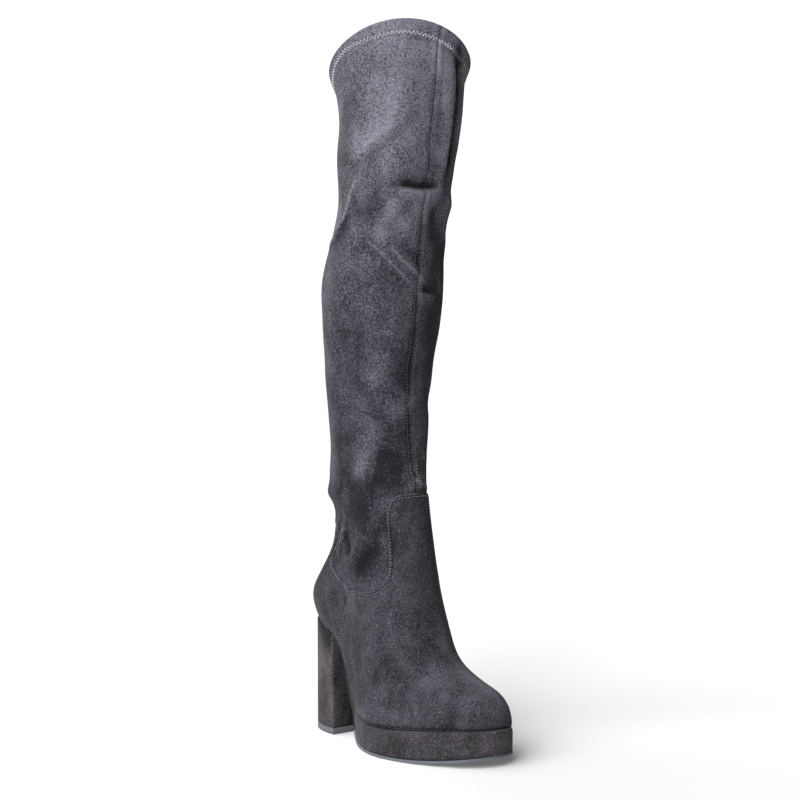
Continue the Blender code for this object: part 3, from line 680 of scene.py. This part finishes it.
class Finish:
    """A material under work: its nodes are added by node() and its shader is set by shade()."""

    def __init__(self, name):
        self.material = bpy.data.materials.new(name)
        self.material.use_nodes = True
        self.tree = self.material.node_tree
        self.shader = self.tree.nodes["Principled BSDF"]
        self.place = self.node("ShaderNodeTexCoord", output="Object")

    def join(self, target, value):
        if isinstance(value, Value):
            self.tree.links.new(value.socket, target)
        else:
            target.default_value = value

    def node(self, kind, settings=None, sockets=None, output=0):
        made = self.tree.nodes.new(kind)
        for key, value in (settings or {}).items():
            setattr(made, key, value)
        for key, value in (sockets or {}).items():
            self.join(made.inputs[key], value)
        return Value(self, made.outputs[output])

    def shade(self, **sockets):
        for key, value in sockets.items():
            self.join(self.shader.inputs[key.replace("_", " ")], value)

    def noise(self, scale, detail=2.0, stretch=(1, 1, 1), distortion=0.0):
        spot = self.node("ShaderNodeMapping", {}, {"Vector": self.place, "Scale": stretch})
        return self.node("ShaderNodeTexNoise", {}, {"Vector": spot, "Scale": scale, "Detail": detail,
                                                    "Distortion": distortion})

    def between(self, first, second, share):
        """A colour between two others."""
        return self.node("ShaderNodeMix", {"data_type": "RGBA"}, {0: share, 6: first, 7: second}, 2)

    def raised(self, height, strength, depth):
        self.shade(Normal=self.node("ShaderNodeBump", {}, {"Height": height, "Strength": strength,
                                                            "Distance": depth}))


def suede(name, dark, light, specks, coarse):
    """Brushed faux suede: clumped fibres, brush clouds, the marks hands leave in the nap, and painted light and
    shade.
    """
    finish = Finish(name)
    grain = finish.noise(1500, 2)
    clump = finish.noise(520, 2)
    stroke = finish.noise(75, 3, (1.0, 1.0, 0.6), 0.6)
    cloud = finish.noise(22, 2, (1.0, 1.0, 0.7), 0.4)
    dust = finish.noise(640, 0).within(0.75, 0.79)
    nap_and_painted_light = finish.node("ShaderNodeAttribute", {"attribute_name": "nap_and_painted_light"}, output="Fac")
    fibres = 2.9 * (grain - 0.5) + 1.1 * (clump - 0.5)
    # the stored attribute adds painted shade and highlights to the nap's own tone
    tone = 0.45 + nap_and_painted_light + fibres * (coarse + 0.9 * nap_and_painted_light) + (stroke - 0.5) + 0.8 * (cloud - 0.5) + specks * dust
    share = finish.node("ShaderNodeClamp", {}, {"Value": 0.5 * tone})
    finish.shade(Base_Color=finish.between(dark, light, share), Roughness=0.98 - 0.1 * share,
                 Sheen_Weight=0.05, Sheen_Roughness=0.5, Specular_IOR_Level=0.1)
    finish.shader.inputs["Sheen Tint"].default_value = (0.75, 0.75, 0.82, 1)
    finish.raised(grain + clump, 0.6, 0.4 * MM)
    return finish.material


def knit(name, dark, light):
    """Fine knit backing: rows of loops that run around the leg."""
    finish = Finish(name)
    rows = finish.node("ShaderNodeTexWave", {"bands_direction": "Z"},
                       {"Vector": finish.place, "Scale": 250.0, "Distortion": 1.5, "Detail": 1.0,
                        "Detail Scale": 4.0})
    cloud = finish.noise(40, 2)
    share = finish.node("ShaderNodeClamp", {}, {"Value": 0.35 * rows + 0.9 * cloud - 0.1})
    finish.shade(Base_Color=finish.between(dark, light, share), Roughness=0.95, Sheen_Weight=0.2)
    finish.raised(rows + 0.5 * cloud, 0.5, 0.3 * MM)
    return finish.material


# The nap with painted light: along the creases, lighter toward the top, at the lap's edge and beside the front seam
lay_nap_and_painted_light(upper, drawn(points, normals, LEG_NAP_AND_PAINTED_LIGHT, STROKE_ENDS) + read_off(PAINTED_LIGHT_BY_HEIGHT, points[:, 2] / MM))
beyond, clear = over_counter(points_of(upper))
brush_nap_and_painted_light(upper, clear * np.where(beyond > 0, read_off(EDGE_PAINTED_LIGHT, beyond / MM), 0))
brush_nap_and_painted_light(upper, read_off(SEAM_PAINTED_LIGHT, seam_distance(points_of(upper)) / MM))
skin = upper.data.copy()
upper.data.materials.append(suede("suede_stretch", (0.0050, 0.0048, 0.0060, 1), (0.120, 0.1155, 0.143, 1),
                                  specks=0.4, coarse=1.15))
upper.data.materials.append(knit("leg_lining", (0.030, 0.028, 0.028, 1), (0.075, 0.070, 0.068, 1)))
apply_modifier(upper, "SOLIDIFY", thickness=WALL, offset=-1, use_even_offset=False, material_offset=1)
hem_faces = below_hem(np.array([face.center for face in upper.data.polygons]))
for face, below in zip(upper.data.polygons, hem_faces):
    if below < 0:
        face.material_index = 0
apply_modifier(upper, "BEVEL", width=RIM_ROUND, segments=2, limit_method="ANGLE", angle_limit=RIM_ANGLE)
take_up(upper)
bpy.ops.object.shade_smooth()
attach(upper, "root")
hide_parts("upper")


# Vamp: the panel over the foot and up the shin as a tongue, cut from firmer suede and laid over the stretch
# upper. It is stitched down along its edge and lasted under the foot.
def chains(piece, chosen):
    """The open edges of a piece between chosen vertices, as runs of points."""
    links = {}
    for first, second in open_edges(piece):
        if chosen[first] and chosen[second]:
            links.setdefault(first, []).append(second)
            links.setdefault(second, []).append(first)
    runs = []
    while links:
        ends = [index for index, others in links.items() if len(others) == 1]
        here = ends[0] if ends else next(iter(links))
        run = [here]
        while links.get(here):
            ahead = links[here].pop()
            links[ahead].remove(here)
            run.append(ahead)
            here = ahead
        links = {index: others for index, others in links.items() if others}
        runs.append(np.array([piece.data.vertices[index].co for index in run]))
    return runs


def distance_from(points, runs, fine=6):
    """Distance of each point from the nearest of some runs of points."""
    spots = np.concatenate([run[:-1] + (run[1:] - run[:-1]) * step / fine for run in runs
                            for step in range(fine)] + [run[-1:] for run in runs])
    tree = KDTree(len(spots))
    for index, spot in enumerate(spots):
        tree.insert(spot, index)
    tree.balance()
    return np.array([tree.find(point)[2] for point in points])


# Rolled edges: distance from the cut edge, or from the lower edge that is drawn under, and how far out or how light
EDGE_ROLL = [(0, -0.5), (0.35, -0.1), (0.8, 0.05), (2.0, -0.25), (3.4, 0)]
# painted shade in the groove where the lower edge is drawn under
LASTED_PAINTED_SHADE = [(0, -0.6), (1.3, -0.4), (2.4, 0)]
LASTED_ROLL = [(0, -2.3), (0.8, -1.1), (2.2, -0.3), (4.5, 0)]
ON_CUT = 0.6 * MM
PAST_CUT = 0.01 * MM
PANEL_CRISP = math.radians(50)


def cut_panel(name, outline, lift, thick, edge):
    """A panel of suede cut from the upper's own form, with a rolled edge, a sunk stitch line and painted light along
    them.
    """
    panel = new_piece(name, skin.copy())
    beyond = score(panel, outside(points_of(panel), outline))
    mesh = bmesh.new()
    mesh.from_mesh(panel.data)
    mesh.verts.ensure_lookup_table()
    bmesh.ops.delete(mesh, geom=[vert for vert, gap in zip(mesh.verts, beyond) if gap > PAST_CUT])
    mesh.to_mesh(panel.data)
    mesh.free()
    on_cut = np.abs(outside(points_of(panel), outline)) < ON_CUT
    cut = chains(panel, on_cut)
    lasted = chains(panel, ~on_cut)
    for step, _ in EDGE_ROLL[1:4]:
        score(panel, distance_from(points_of(panel), cut) - step * MM)
    for step, _ in LASTED_ROLL[1:3]:
        score(panel, distance_from(points_of(panel), lasted) - step * MM)
    points = points_of(panel)
    from_cut, from_lasted = distance_from(points, cut) / MM, distance_from(points, lasted) / MM
    rise = read_off(EDGE_ROLL, from_cut) + read_off(LASTED_ROLL, from_lasted)
    # a painted highlight on the cut edge, and painted shade at the stitch line and in the lower edge's groove
    brush_nap_and_painted_light(panel, edge * read_off(EDGE_PAINTED_LIGHT, from_cut))
    brush_nap_and_painted_light(panel, read_off(LASTED_PAINTED_SHADE, from_lasted))
    move_points(panel, points + normals_of(panel) * (lift + rise * MM)[:, None])
    apply_modifier(panel, "SOLIDIFY", thickness=thick, offset=-1, use_even_offset=False)
    take_up(panel)
    bpy.ops.object.shade_smooth_by_angle(angle=PANEL_CRISP)
    return panel, cut


# Marks of the nap on the vamp, together with painted highlights and painted shade, by how light they are
FOOT_NAP_AND_PAINTED_LIGHT = soft_lines(
    (0.35, 9, 8, (-7, 191, 55), (-2, 199, 52), (0, 205, 49)),
    (0.40, 8, 8, (6, 163, 69), (10, 171, 63), (17, 181, 58), (19, 195, 52)),
    (0.25, 8, 9, (9, 143, 104), (7, 152, 86), (8, 159, 73)),
    (-0.22, 9, 9, (-40, 117, 54), (-37, 126, 62), (-30, 134, 76)),
    (-0.25, 4, 4, (-10, 176, 60), (-5, 183, 59), (0, 189, 57)),
    (0.25, 15, 13, (-20, 155, 70), (-12, 166, 66), (-4, 180, 60), (4, 193, 55), (12, 207, 48)),
    (0.20, 12, 12, (-28, 167, 54), (-19, 169, 60), (-20, 180, 55)),
    (0.15, 9, 9, (-42, 147, 35), (-38, 166, 35)),
    (0.46, 14, 14, (24, 206, 41), (14, 214, 41), (-1, 216, 38), (-15, 209, 36), (-26, 198, 36)),
    (-0.30, 8, 8, (-24, 114, 173), (-21, 123, 158), (-14, 130, 147)),
    (0.20, 9, 9, (-33, 89, 126), (-36, 95, 82)),
    (0.15, 8, 8, (-25, 130, 112), (-17, 143, 96), (-15, 152, 80)),
    (-0.12, 7, 7, (0, 144, 104), (-1, 156, 78)),
    (-0.18, 6, 6, (11, 126, 180), (17, 130, 136), (17, 136, 112), (14, 150, 84)),
    (0.45, 9, 9, (-36, 95, 27), (-40, 115, 29), (-42, 138, 31), (-42, 156, 28)),
    (0.55, 7, 7, (10, 168, 66), (13, 182, 58), (15, 192, 54), (18, 204, 46)),
    (-0.28, 7, 7, (-27, 193, 40), (-12, 212, 33), (9, 219, 33)),
    (0.20, 9, 9, (-3, 127, 190), (-7, 130, 177), (-2, 132, 165), (-7, 131, 154), (-15, 129, 147), (-21, 126, 138)),
    (0.30, 7, 7, (0, 178, 62), (4, 185, 59), (10, 196, 54), (16, 205, 46), (20, 209, 39)),
    (0.12, 6, 6, (-37, 175, 34), (-32, 183, 34), (-26, 192, 39), (-21, 199, 40)),
    (0.26, 5, 5, (2, 149, 90), (6, 155, 79), (10, 158, 72), (10, 163, 68), (10, 170, 64)),
    (0.12, 8, 8, (-36, 127, 68), (-39, 134, 54), (-41, 146, 42)),
    (0.15, 6, 6, (2, 153, 85), (5, 157, 74), (8, 164, 68)),
    (0.18, 7, 7, (-24, 182, 52), (-14, 197, 49), (-5, 208, 44)),
    (0.12, 8, 8, (-41, 127, 42), (-39, 139, 51)),
    (-0.12, 9, 9, (-41, 150, 36), (-27, 163, 56)),
)
TONGUE_NAP = [Height(100, 0), Height(130, 0.10), Height(200, 0.20)]
VAMP_LIFT = 1.25 * MM
PANEL_THICK = 0.6 * MM
vamp, vamp_cut = cut_panel("vamp_suede", vamp_outline, VAMP_LIFT, PANEL_THICK, 1)
brush_nap_and_painted_light(vamp, drawn(points_of(vamp), normals_of(vamp), FOOT_NAP_AND_PAINTED_LIGHT, STROKE_ENDS))
brush_nap_and_painted_light(vamp, read_off(TONGUE_NAP, points_of(vamp)[:, 2] / MM))
vamp.data.materials.append(suede("suede_panel", (0.0055, 0.0053, 0.0064, 1), (0.100, 0.0965, 0.116, 1),
                                 specks=1.0, coarse=0.9))
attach(vamp, "root")
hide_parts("vamp")

# Counter: the stiff suede panel that cups the heel. It runs round the back from seam to seam, and its top
# edge dips over the ankle.
SEAM_GAP = 0.4
COUNTER_LIFT = 0.95 * MM
counter_seam = [Outline(step.along - SEAM_GAP, step.up) for step in SIDE_SEAM[:-1]]
counter, counter_cut = cut_panel("counter_suede", counter_seam + COUNTER_EDGE + COUNTER_BACK, COUNTER_LIFT,
                                 PANEL_THICK, 0)
counter.data.materials.append(suede("suede_counter", (0.0053, 0.0051, 0.0061, 1), (0.092, 0.0885, 0.106, 1),
                                    specks=0.6, coarse=1.0))
bpy.data.meshes.remove(skin)
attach(counter, "root")
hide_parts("counter")

# Stitching: grey thread sewn through the vamp's edge and the leg's lap over the counter, along both sides of the
# front seam, and in zigzag round the hem. Each stitch is a short plump loop that sinks into the suede at its ends.
STITCH = 2.5 * MM
GAP_SHARE = 0.42
SUNK = 0.25
PANEL_THREAD = 0.345 * MM
SEAM_THREAD = 0.42 * MM
HEM_THREAD = 0.126 * MM

bpy.ops.object.select_all(action="DESELECT")
bpy.ops.mesh.primitive_uv_sphere_add(segments=6, ring_count=6, radius=0.5)
loop = bpy.context.object
bpy.ops.object.mode_set(mode="EDIT")
bpy.ops.transform.rotate(value=math.pi / 2, orient_axis="Y", center_override=(0, 0, 0))
bpy.ops.object.mode_set(mode="OBJECT")
loop_points = points_of(loop)
loop_faces = [tuple(face.vertices) for face in loop.data.polygons]
bpy.data.objects.remove(loop)


def surface_of(*pieces):
    """The pieces' faces together, as something that a point can be set down on."""
    corners, faces = [], []
    for piece in pieces:
        faces += [[index + len(corners) for index in face.vertices] for face in piece.data.polygons]
        corners += [vert.co.copy() for vert in piece.data.vertices]
    return BVHTree.FromPolygons(corners, faces)


def spaced(run, pitch):
    """Points at an even pitch along a run."""
    length = np.concatenate([[0], np.cumsum(np.linalg.norm(np.diff(run, axis=0), axis=1))])
    count = max(int(length[-1] / pitch), 2)
    ticks = np.linspace(0, length[-1], count + 1)
    return np.stack([np.interp(ticks, length, run[:, axis]) for axis in range(3)], axis=1)


def set_back(run, surface, inward):
    """A run moved across the surface, to its left where inward is positive, and set down on it."""
    moved = []
    for index, point in enumerate(run):
        ahead = run[min(index + 1, len(run) - 1)] - run[max(index - 1, 0)]
        normal = surface.find_nearest(Vector(point))[1]
        aside = normal.cross(Vector(ahead)).normalized()
        moved.append(surface.find_nearest(Vector(point) + aside * inward)[0])
    return np.array(moved)


def sew(name, seams, thread, material):
    """One piece of all the stitches of some seams: each seam is pairs of ends and the surface under them."""
    corners, faces = [], []
    for ends, surface in seams:
        for start, end in ends:
            middle = surface.find_nearest(Vector((start + end) / 2))
            run = Vector(end - start)
            along = run.normalized()
            normal = (middle[1] - middle[1].dot(along) * along).normalized()
            aside = normal.cross(along)
            chord = Vector((start + end) / 2)
            base = chord + normal * (max((middle[0] - chord).dot(normal), 0) + thread * SUNK)
            faces += [[index + len(corners) for index in face] for face in loop_faces]
            corners += [base + along * (x * run.length) + aside * (y * 2 * thread) + normal * (z * 2 * thread)
                        for x, y, z in loop_points]
    mesh = bpy.data.meshes.new(name)
    mesh.from_pydata(corners, [], faces)
    mesh.materials.append(material)
    piece = new_piece(name, mesh)
    take_up(piece)
    bpy.ops.object.mode_set(mode="EDIT")
    bpy.ops.mesh.select_all(action="SELECT")
    bpy.ops.mesh.normals_make_consistent(inside=False)
    bpy.ops.object.mode_set(mode="OBJECT")
    bpy.ops.object.shade_smooth()
    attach(piece, "root")
    return piece


def running(run, pitch):
    """Pairs of ends for a row of running stitches."""
    spots = spaced(run, pitch)
    return [(start + (end - start) * GAP_SHARE / 2, end - (end - start) * GAP_SHARE / 2)
            for start, end in zip(spots[:-1], spots[1:])]


def thread_finish(name, dark, light):
    """Thread, spun from two shades of fibre."""
    finish = Finish(name)
    twist = finish.noise(1800, 2)
    finish.shade(Base_Color=finish.between(dark, light, twist), Roughness=0.7, Sheen_Weight=0.2)
    finish.raised(twist, 0.4, 0.1 * MM)
    return finish.material


INSET = 2.0 * MM
SLOPE_STEP = 0.5 * MM
OFF_SURFACE = 2.0 * MM


def beside_edge(run, surface, outline, inward):
    """A run of points along an outline's edge, set back to the inner side of it (1) or to the outer (-1)."""
    spots = spaced(run, STITCH / 2)
    slope, outward = np.zeros_like(spots), spots - np.array(place(LEG_ACROSS, LEG_ALONG, 0))
    for axis in (1, 2):
        step = SLOPE_STEP * np.eye(3)[axis]
        slope[:, axis] = outside(spots + step, outline) - outside(spots - step, outline)
    outward[:, 2] = 0
    slope /= np.linalg.norm(slope, axis=1, keepdims=True)
    outward /= np.linalg.norm(outward, axis=1, keepdims=True)
    moved = spots - inward * INSET * slope + OFF_SURFACE * outward
    return np.array([surface.find_nearest(Vector(point))[0] for point in moved])


vamp_top = surface_of(vamp)
upper_top = surface_of(upper)
panel_seams = []
CORNER_CLEAR = 1.5 * MM
for run in vamp_cut:
    panel_seams.append((running(beside_edge(run, vamp_top, vamp_outline, 1), STITCH), vamp_top))
for run in counter_cut:
    run = run[(outside(run, vamp_outline) > CORNER_CLEAR) & (run[:, 2] > LAP_FOOT)]
    if len(run) > 2:
        panel_seams.append((running(beside_edge(run, upper_top, counter_outline, -1), STITCH), upper_top))
panel_stitches = sew("panel_stitches", panel_seams, PANEL_THREAD,
                     thread_finish("panel_thread", (0.022, 0.022, 0.025, 1), (0.14, 0.137, 0.15, 1)))

SEAM_ROWS = (-1.7 * MM, 4.6 * MM)
# The rows run from the tongue to the knee's lip, which hides them, and from above it to the hem
SEAM_PARTS = ((200.0, 428.5), (436.0, 548.0))
ROW_STEP = 1.2
BEFORE_LEG = -0.5
# Above this height the seam's thread is painted near black, as shaded thread in its needle holes; below it stays lit
# grey
SEAM_PAINTED_SHADE_ABOVE = 218 * MM
front_seams = []
for aside in SEAM_ROWS:
    for low, high in SEAM_PARTS:
        row = []
        for up in np.arange(low, high, ROW_STEP):
            x = (read_off(FRONT_SEAM, up) - MIDDLE_ACROSS) * MM + aside
            hit = upper_top.ray_cast(Vector((x, BEFORE_LEG, up * MM)), Vector((0, 1, 0)))[0]
            if hit:
                row.append(hit)
        front_seams.append((running(np.array(row), STITCH), upper_top))
front_stitches = sew("front_seam_stitches", front_seams, SEAM_THREAD,
                     thread_finish("seam_thread_painted_shade", (0.004, 0.004, 0.005, 1), (0.028, 0.028, 0.032, 1)))
front_stitches.data.materials.append(thread_finish("seam_foot_thread", (0.02, 0.02, 0.022, 1), (0.14, 0.14, 0.15, 1)))
for face in front_stitches.data.polygons:
    face.material_index = 1 if face.center.z < SEAM_PAINTED_SHADE_ABOVE else 0

ZIGZAG = 1.6 * MM
ZIGZAG_HALF = 1.6 * MM
HEM_TURNS = 361
AROUND_LEG = 0.2
# Where the leg is folded in, the hem's thread is painted dark, as the shade of the fold falls on it
SHADED_HEM_TURNS = (0.32, 1.05)
middle = np.array(place(LEG_ACROSS, LEG_ALONG, 0))
hem_run = []
for turn in np.linspace(-math.pi, math.pi, HEM_TURNS):
    outward = np.array([math.sin(turn), -math.cos(turn), 0])
    start = middle + AROUND_LEG * outward + (rim_height(turn) - hem_wide(turn)) * UPWARD
    hem_run.append(upper_top.ray_cast(Vector(start), Vector(-outward))[0])
ticks = spaced(np.array(hem_run), ZIGZAG)
teeth = set_back(ticks, upper_top, ZIGZAG_HALF)
roots = set_back(ticks, upper_top, -ZIGZAG_HALF)
points = [teeth[index] if index % 2 else roots[index] for index in range(len(ticks))]
hem_stitches = sew("hem_stitches", [(list(zip(points[:-1], points[1:])), upper_top)], HEM_THREAD,
                   thread_finish("hem_thread", (0.25, 0.25, 0.26, 1), (0.70, 0.70, 0.73, 1)))
hem_stitches.data.materials.append(thread_finish("hem_thread_painted_shade", (0.02, 0.02, 0.022, 1), (0.16, 0.16, 0.17, 1)))
turns = turn_of(np.array([face.center for face in hem_stitches.data.polygons]))
for face, turn in zip(hem_stitches.data.polygons, turns):
    face.material_index = 1 if SHADED_HEM_TURNS[0] < turn < SHADED_HEM_TURNS[1] else 0

# Insole: the sock that lines the footbed, a thin padded fabric on a board. It is glued over the platform's seat
# and shows only down the leg.
CRISP = math.radians(40)
insole = copy_of("insole", "insole_sock")
move_points(insole, lifted(points_of(insole), seat_rise(points_of(insole))))
bpy.ops.object.shade_smooth_by_angle(angle=CRISP)
insole.data.materials.append(knit("sock_lining", (0.035, 0.032, 0.031, 1), (0.085, 0.080, 0.077, 1)))
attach(insole, "root")
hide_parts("insole")

# Platform: a moulded block under the forefoot that thins to a shank under the arch, wrapped in the same
# suede, which is turned under its lower edge.
PLATFORM_ROUND = 1.6 * MM
PLATFORM_EDGES = math.radians(50)
# Painted highlights on the platform: round its toe and up its rear corner
PLATFORM_PAINTED_LIGHT = soft_lines(
    (0.25, 8, 8, (-31, 202, 16), (-21, 211, 14), (-11, 218, 14)),
    (0.62, 14, 14, (-20, 214, 16), (-1, 222, 16), (20, 221, 16), (36, 208, 16), (44, 190, 16)),
    (0.30, 7, 7, (-36, 92, -6), (-36, 92, 14), (-36, 92, 34)),
)
platform = copy_of("platform", "platform_cover")
move_points(platform, settle_foot(points_of(platform), True))
apply_modifier(platform, "BEVEL", width=PLATFORM_ROUND, segments=3, limit_method="ANGLE",
               angle_limit=PLATFORM_EDGES)
apply_modifier(platform, "SUBSURF", subdivision_type="SIMPLE", levels=2, render_levels=2)
bpy.ops.object.shade_smooth_by_angle(angle=CRISP)
lay_nap_and_painted_light(platform, drawn(points_of(platform), normals_of(platform), PLATFORM_PAINTED_LIGHT, STROKE_ENDS))
platform.data.materials.append(suede("suede_platform", (0.0080, 0.0074, 0.0083, 1), (0.110, 0.099, 0.113, 1),
                                     specks=0.8, coarse=0.9))
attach(platform, "root")
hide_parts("platform")


# Outsole: a thin sheet of pale rubber, glued under the platform, up its rear face and along the arch. Above the
# tread it is painted as dark as the suede beside it.
def rubber(name, dark, light, cover=None):
    """Matt moulded rubber with a fine bloom. A cover colour, if given, is painted on where the sheet rises."""
    finish = Finish(name)
    bloom = finish.noise(300, 3)
    cloud = finish.noise(45, 2)
    share = finish.node("ShaderNodeClamp", {}, {"Value": 0.6 * bloom + 0.8 * cloud - 0.2})
    colour = finish.between(dark, light, share)
    if cover:
        height = finish.node("ShaderNodeSeparateXYZ", {}, {"Vector": finish.place}, "Z")
        colour = finish.between(colour, cover, height.within(EDGE_PAINT, EDGE_PAINT + PAINT_EASE))
    finish.shade(Base_Color=colour, Roughness=0.85 - 0.2 * cloud, Specular_IOR_Level=0.2)
    finish.raised(bloom, 0.25, 0.15 * MM)
    return finish.material


EDGE_PAINT = 11.0 * MM
PAINT_EASE = 0.6 * MM
DARK_EDGE = (0.014, 0.013, 0.014, 1)
outsole = copy_of("outsole", "outsole_rubber")
move_points(outsole, settle_foot(points_of(outsole), True))
bpy.ops.object.shade_smooth_by_angle(angle=CRISP)
outsole.data.materials.append(rubber("rubber_outsole", (0.063, 0.070, 0.082, 1), (0.110, 0.121, 0.137, 1), DARK_EDGE))
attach(outsole, "root")
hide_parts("outsole")


# Heel: a straight moulded block with a D-shaped plan, fixed under the seat. Its suede cover is drawn down and
# glued under at the bottom.
def round_corners(piece, wide):
    """Rounds the upright corners of a block."""
    mesh = bmesh.new()
    mesh.from_mesh(piece.data)
    upright = []
    for edge in mesh.edges:
        run = edge.verts[1].co - edge.verts[0].co
        if edge.calc_face_angle(0) > CORNER_ANGLE and abs(run.z) > UPRIGHT * run.length:
            upright.append(edge)
    bmesh.ops.bevel(mesh, geom=upright, offset=wide, segments=4, profile=0.5, affect="EDGES", clamp_overlap=True)
    mesh.to_mesh(piece.data)
    mesh.free()


HEEL_ROUND = 2.6 * MM
CORNER_ANGLE = math.radians(35)
UPRIGHT = 0.8
HEEL_STILL, HEEL_EASE = 25, 40
# Painted shade on the heel: down its breast, and under the counter's edge at its top
HEEL_PAINTED_SHADE = soft_lines(
    (-0.40, 20, 20, (0, 56, -20), (0, 56, 12), (0, 56, 40), (0, 56, 66), (0, 56, 90)),
    (-0.55, 17, 17, (-18, 18, 92), (-24, 34, 88), (-26, 44, 84), (-27, 58, 80)),
)
heel = copy_of("heel", "heel_cover")
points = points_of(heel)
move_points(heel, lifted(points, seat_rise(points) * eased((points[:, 2] / MM - HEEL_STILL) / HEEL_EASE)))
round_corners(heel, HEEL_ROUND)
apply_modifier(heel, "SUBSURF", subdivision_type="SIMPLE", levels=3, render_levels=3)
bpy.ops.object.shade_smooth_by_angle(angle=CRISP)
lay_nap_and_painted_light(heel, drawn(points_of(heel), normals_of(heel), HEEL_PAINTED_SHADE, STROKE_ENDS))
heel.data.materials.append(suede("suede_heel", (0.0080, 0.0072, 0.0079, 1), (0.155, 0.139, 0.153, 1),
                                 specks=0.5, coarse=0.8))
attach(heel, "root")
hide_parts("heel")

# Heel lift: the pale rubber top piece that takes the wear of walking. It is nailed under the heel and cut flush
# with it.
lift = copy_of("heel_lift", "heel_lift_rubber")
round_corners(lift, HEEL_ROUND)
bpy.ops.object.shade_smooth_by_angle(angle=CRISP)
lift.data.materials.append(rubber("rubber_lift", (0.062, 0.064, 0.074, 1), (0.105, 0.107, 0.122, 1)))
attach(lift, "root")
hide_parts("heel_lift")

# Studio: a pale paper floor with a faint glow of its own that runs out to a white surround. A broad soft light
# stands at the left, a weaker one behind, and a small one before the top of the leg; the camera is at knee height.
FLOOR_HALF = 6.0
FLOOR_UP = -0.2 * MM
FLOOR_GLOW = 0.13
bpy.ops.object.select_all(action="DESELECT")
bpy.ops.mesh.primitive_circle_add(vertices=96, radius=FLOOR_HALF, fill_type="NGON", location=(0, 0, FLOOR_UP))
floor = bpy.context.object
floor.name = "studio_floor"
paper = Finish("studio_paper")
paper.shade(Base_Color=(0.49, 0.49, 0.49, 1), Roughness=0.95, Specular_IOR_Level=0.0,
            Emission_Color=(1, 1, 1, 1), Emission_Strength=FLOOR_GLOW)
floor.data.materials.append(paper.material)

SURROUND_SEEN = 1.15
SURROUND_GLOW = 0.04
world = bpy.data.worlds.new("studio_surround")
world.use_nodes = True
surround = world.node_tree
ray = surround.nodes.new("ShaderNodeLightPath")
seen = surround.nodes.new("ShaderNodeBackground")
seen.inputs["Color"].default_value = (1, 1, 1, 1)
seen.inputs["Strength"].default_value = SURROUND_SEEN
glow = surround.nodes["Background"]
glow.inputs["Color"].default_value = (0.95, 0.96, 1.0, 1)
glow.inputs["Strength"].default_value = SURROUND_GLOW
both = surround.nodes.new("ShaderNodeMixShader")
surround.links.new(ray.outputs["Is Camera Ray"], both.inputs[0])
surround.links.new(glow.outputs[0], both.inputs[1])
surround.links.new(seen.outputs[0], both.inputs[2])
surround.links.new(both.outputs[0], surround.nodes["World Output"].inputs["Surface"])
bpy.context.scene.world = world


def set_light(kind, name, source, aim, energy):
    """A light that stands at a source and shines toward a point."""
    bpy.ops.object.light_add(type=kind, location=source)
    lamp = bpy.context.object
    lamp.name = name
    lamp.data.energy = energy
    lamp.rotation_euler = (Vector(source) - Vector(aim)).to_track_quat("Z", "Y").to_euler()
    return lamp.data


set_light("SUN", "broad_light", (-0.95, -0.14, 0.80), (0, 0, 0), 5.5).angle = math.radians(58)
set_light("SUN", "back_light", (-0.15, 0.60, 1.0), (0, 0, 0), 2.4).angle = math.radians(45)
top_light = set_light("AREA", "top_light", (-0.86, -0.50, 0.66), (0.0, 0.03, 0.46), 2.0)
top_light.shape = "DISK"
top_light.size = 0.5
top_light.spread = math.radians(50)

EYE = (-1.2418, -1.5290, 0.440)
AIM = (0.0068, 0.0316, 0.2654)
LENS = 115.2
SENSOR = 36.0
FARTHEST = 50.0
bpy.ops.object.camera_add(location=EYE)
camera = bpy.context.object
camera.name = "camera"
camera.data.lens = LENS
camera.data.sensor_width = SENSOR
camera.data.clip_end = FARTHEST
camera.rotation_euler = (Vector(AIM) - Vector(EYE)).to_track_quat("-Z", "Y").to_euler()
bpy.context.scene.camera = camera
bpy.context.scene.view_settings.view_transform = "Standard"
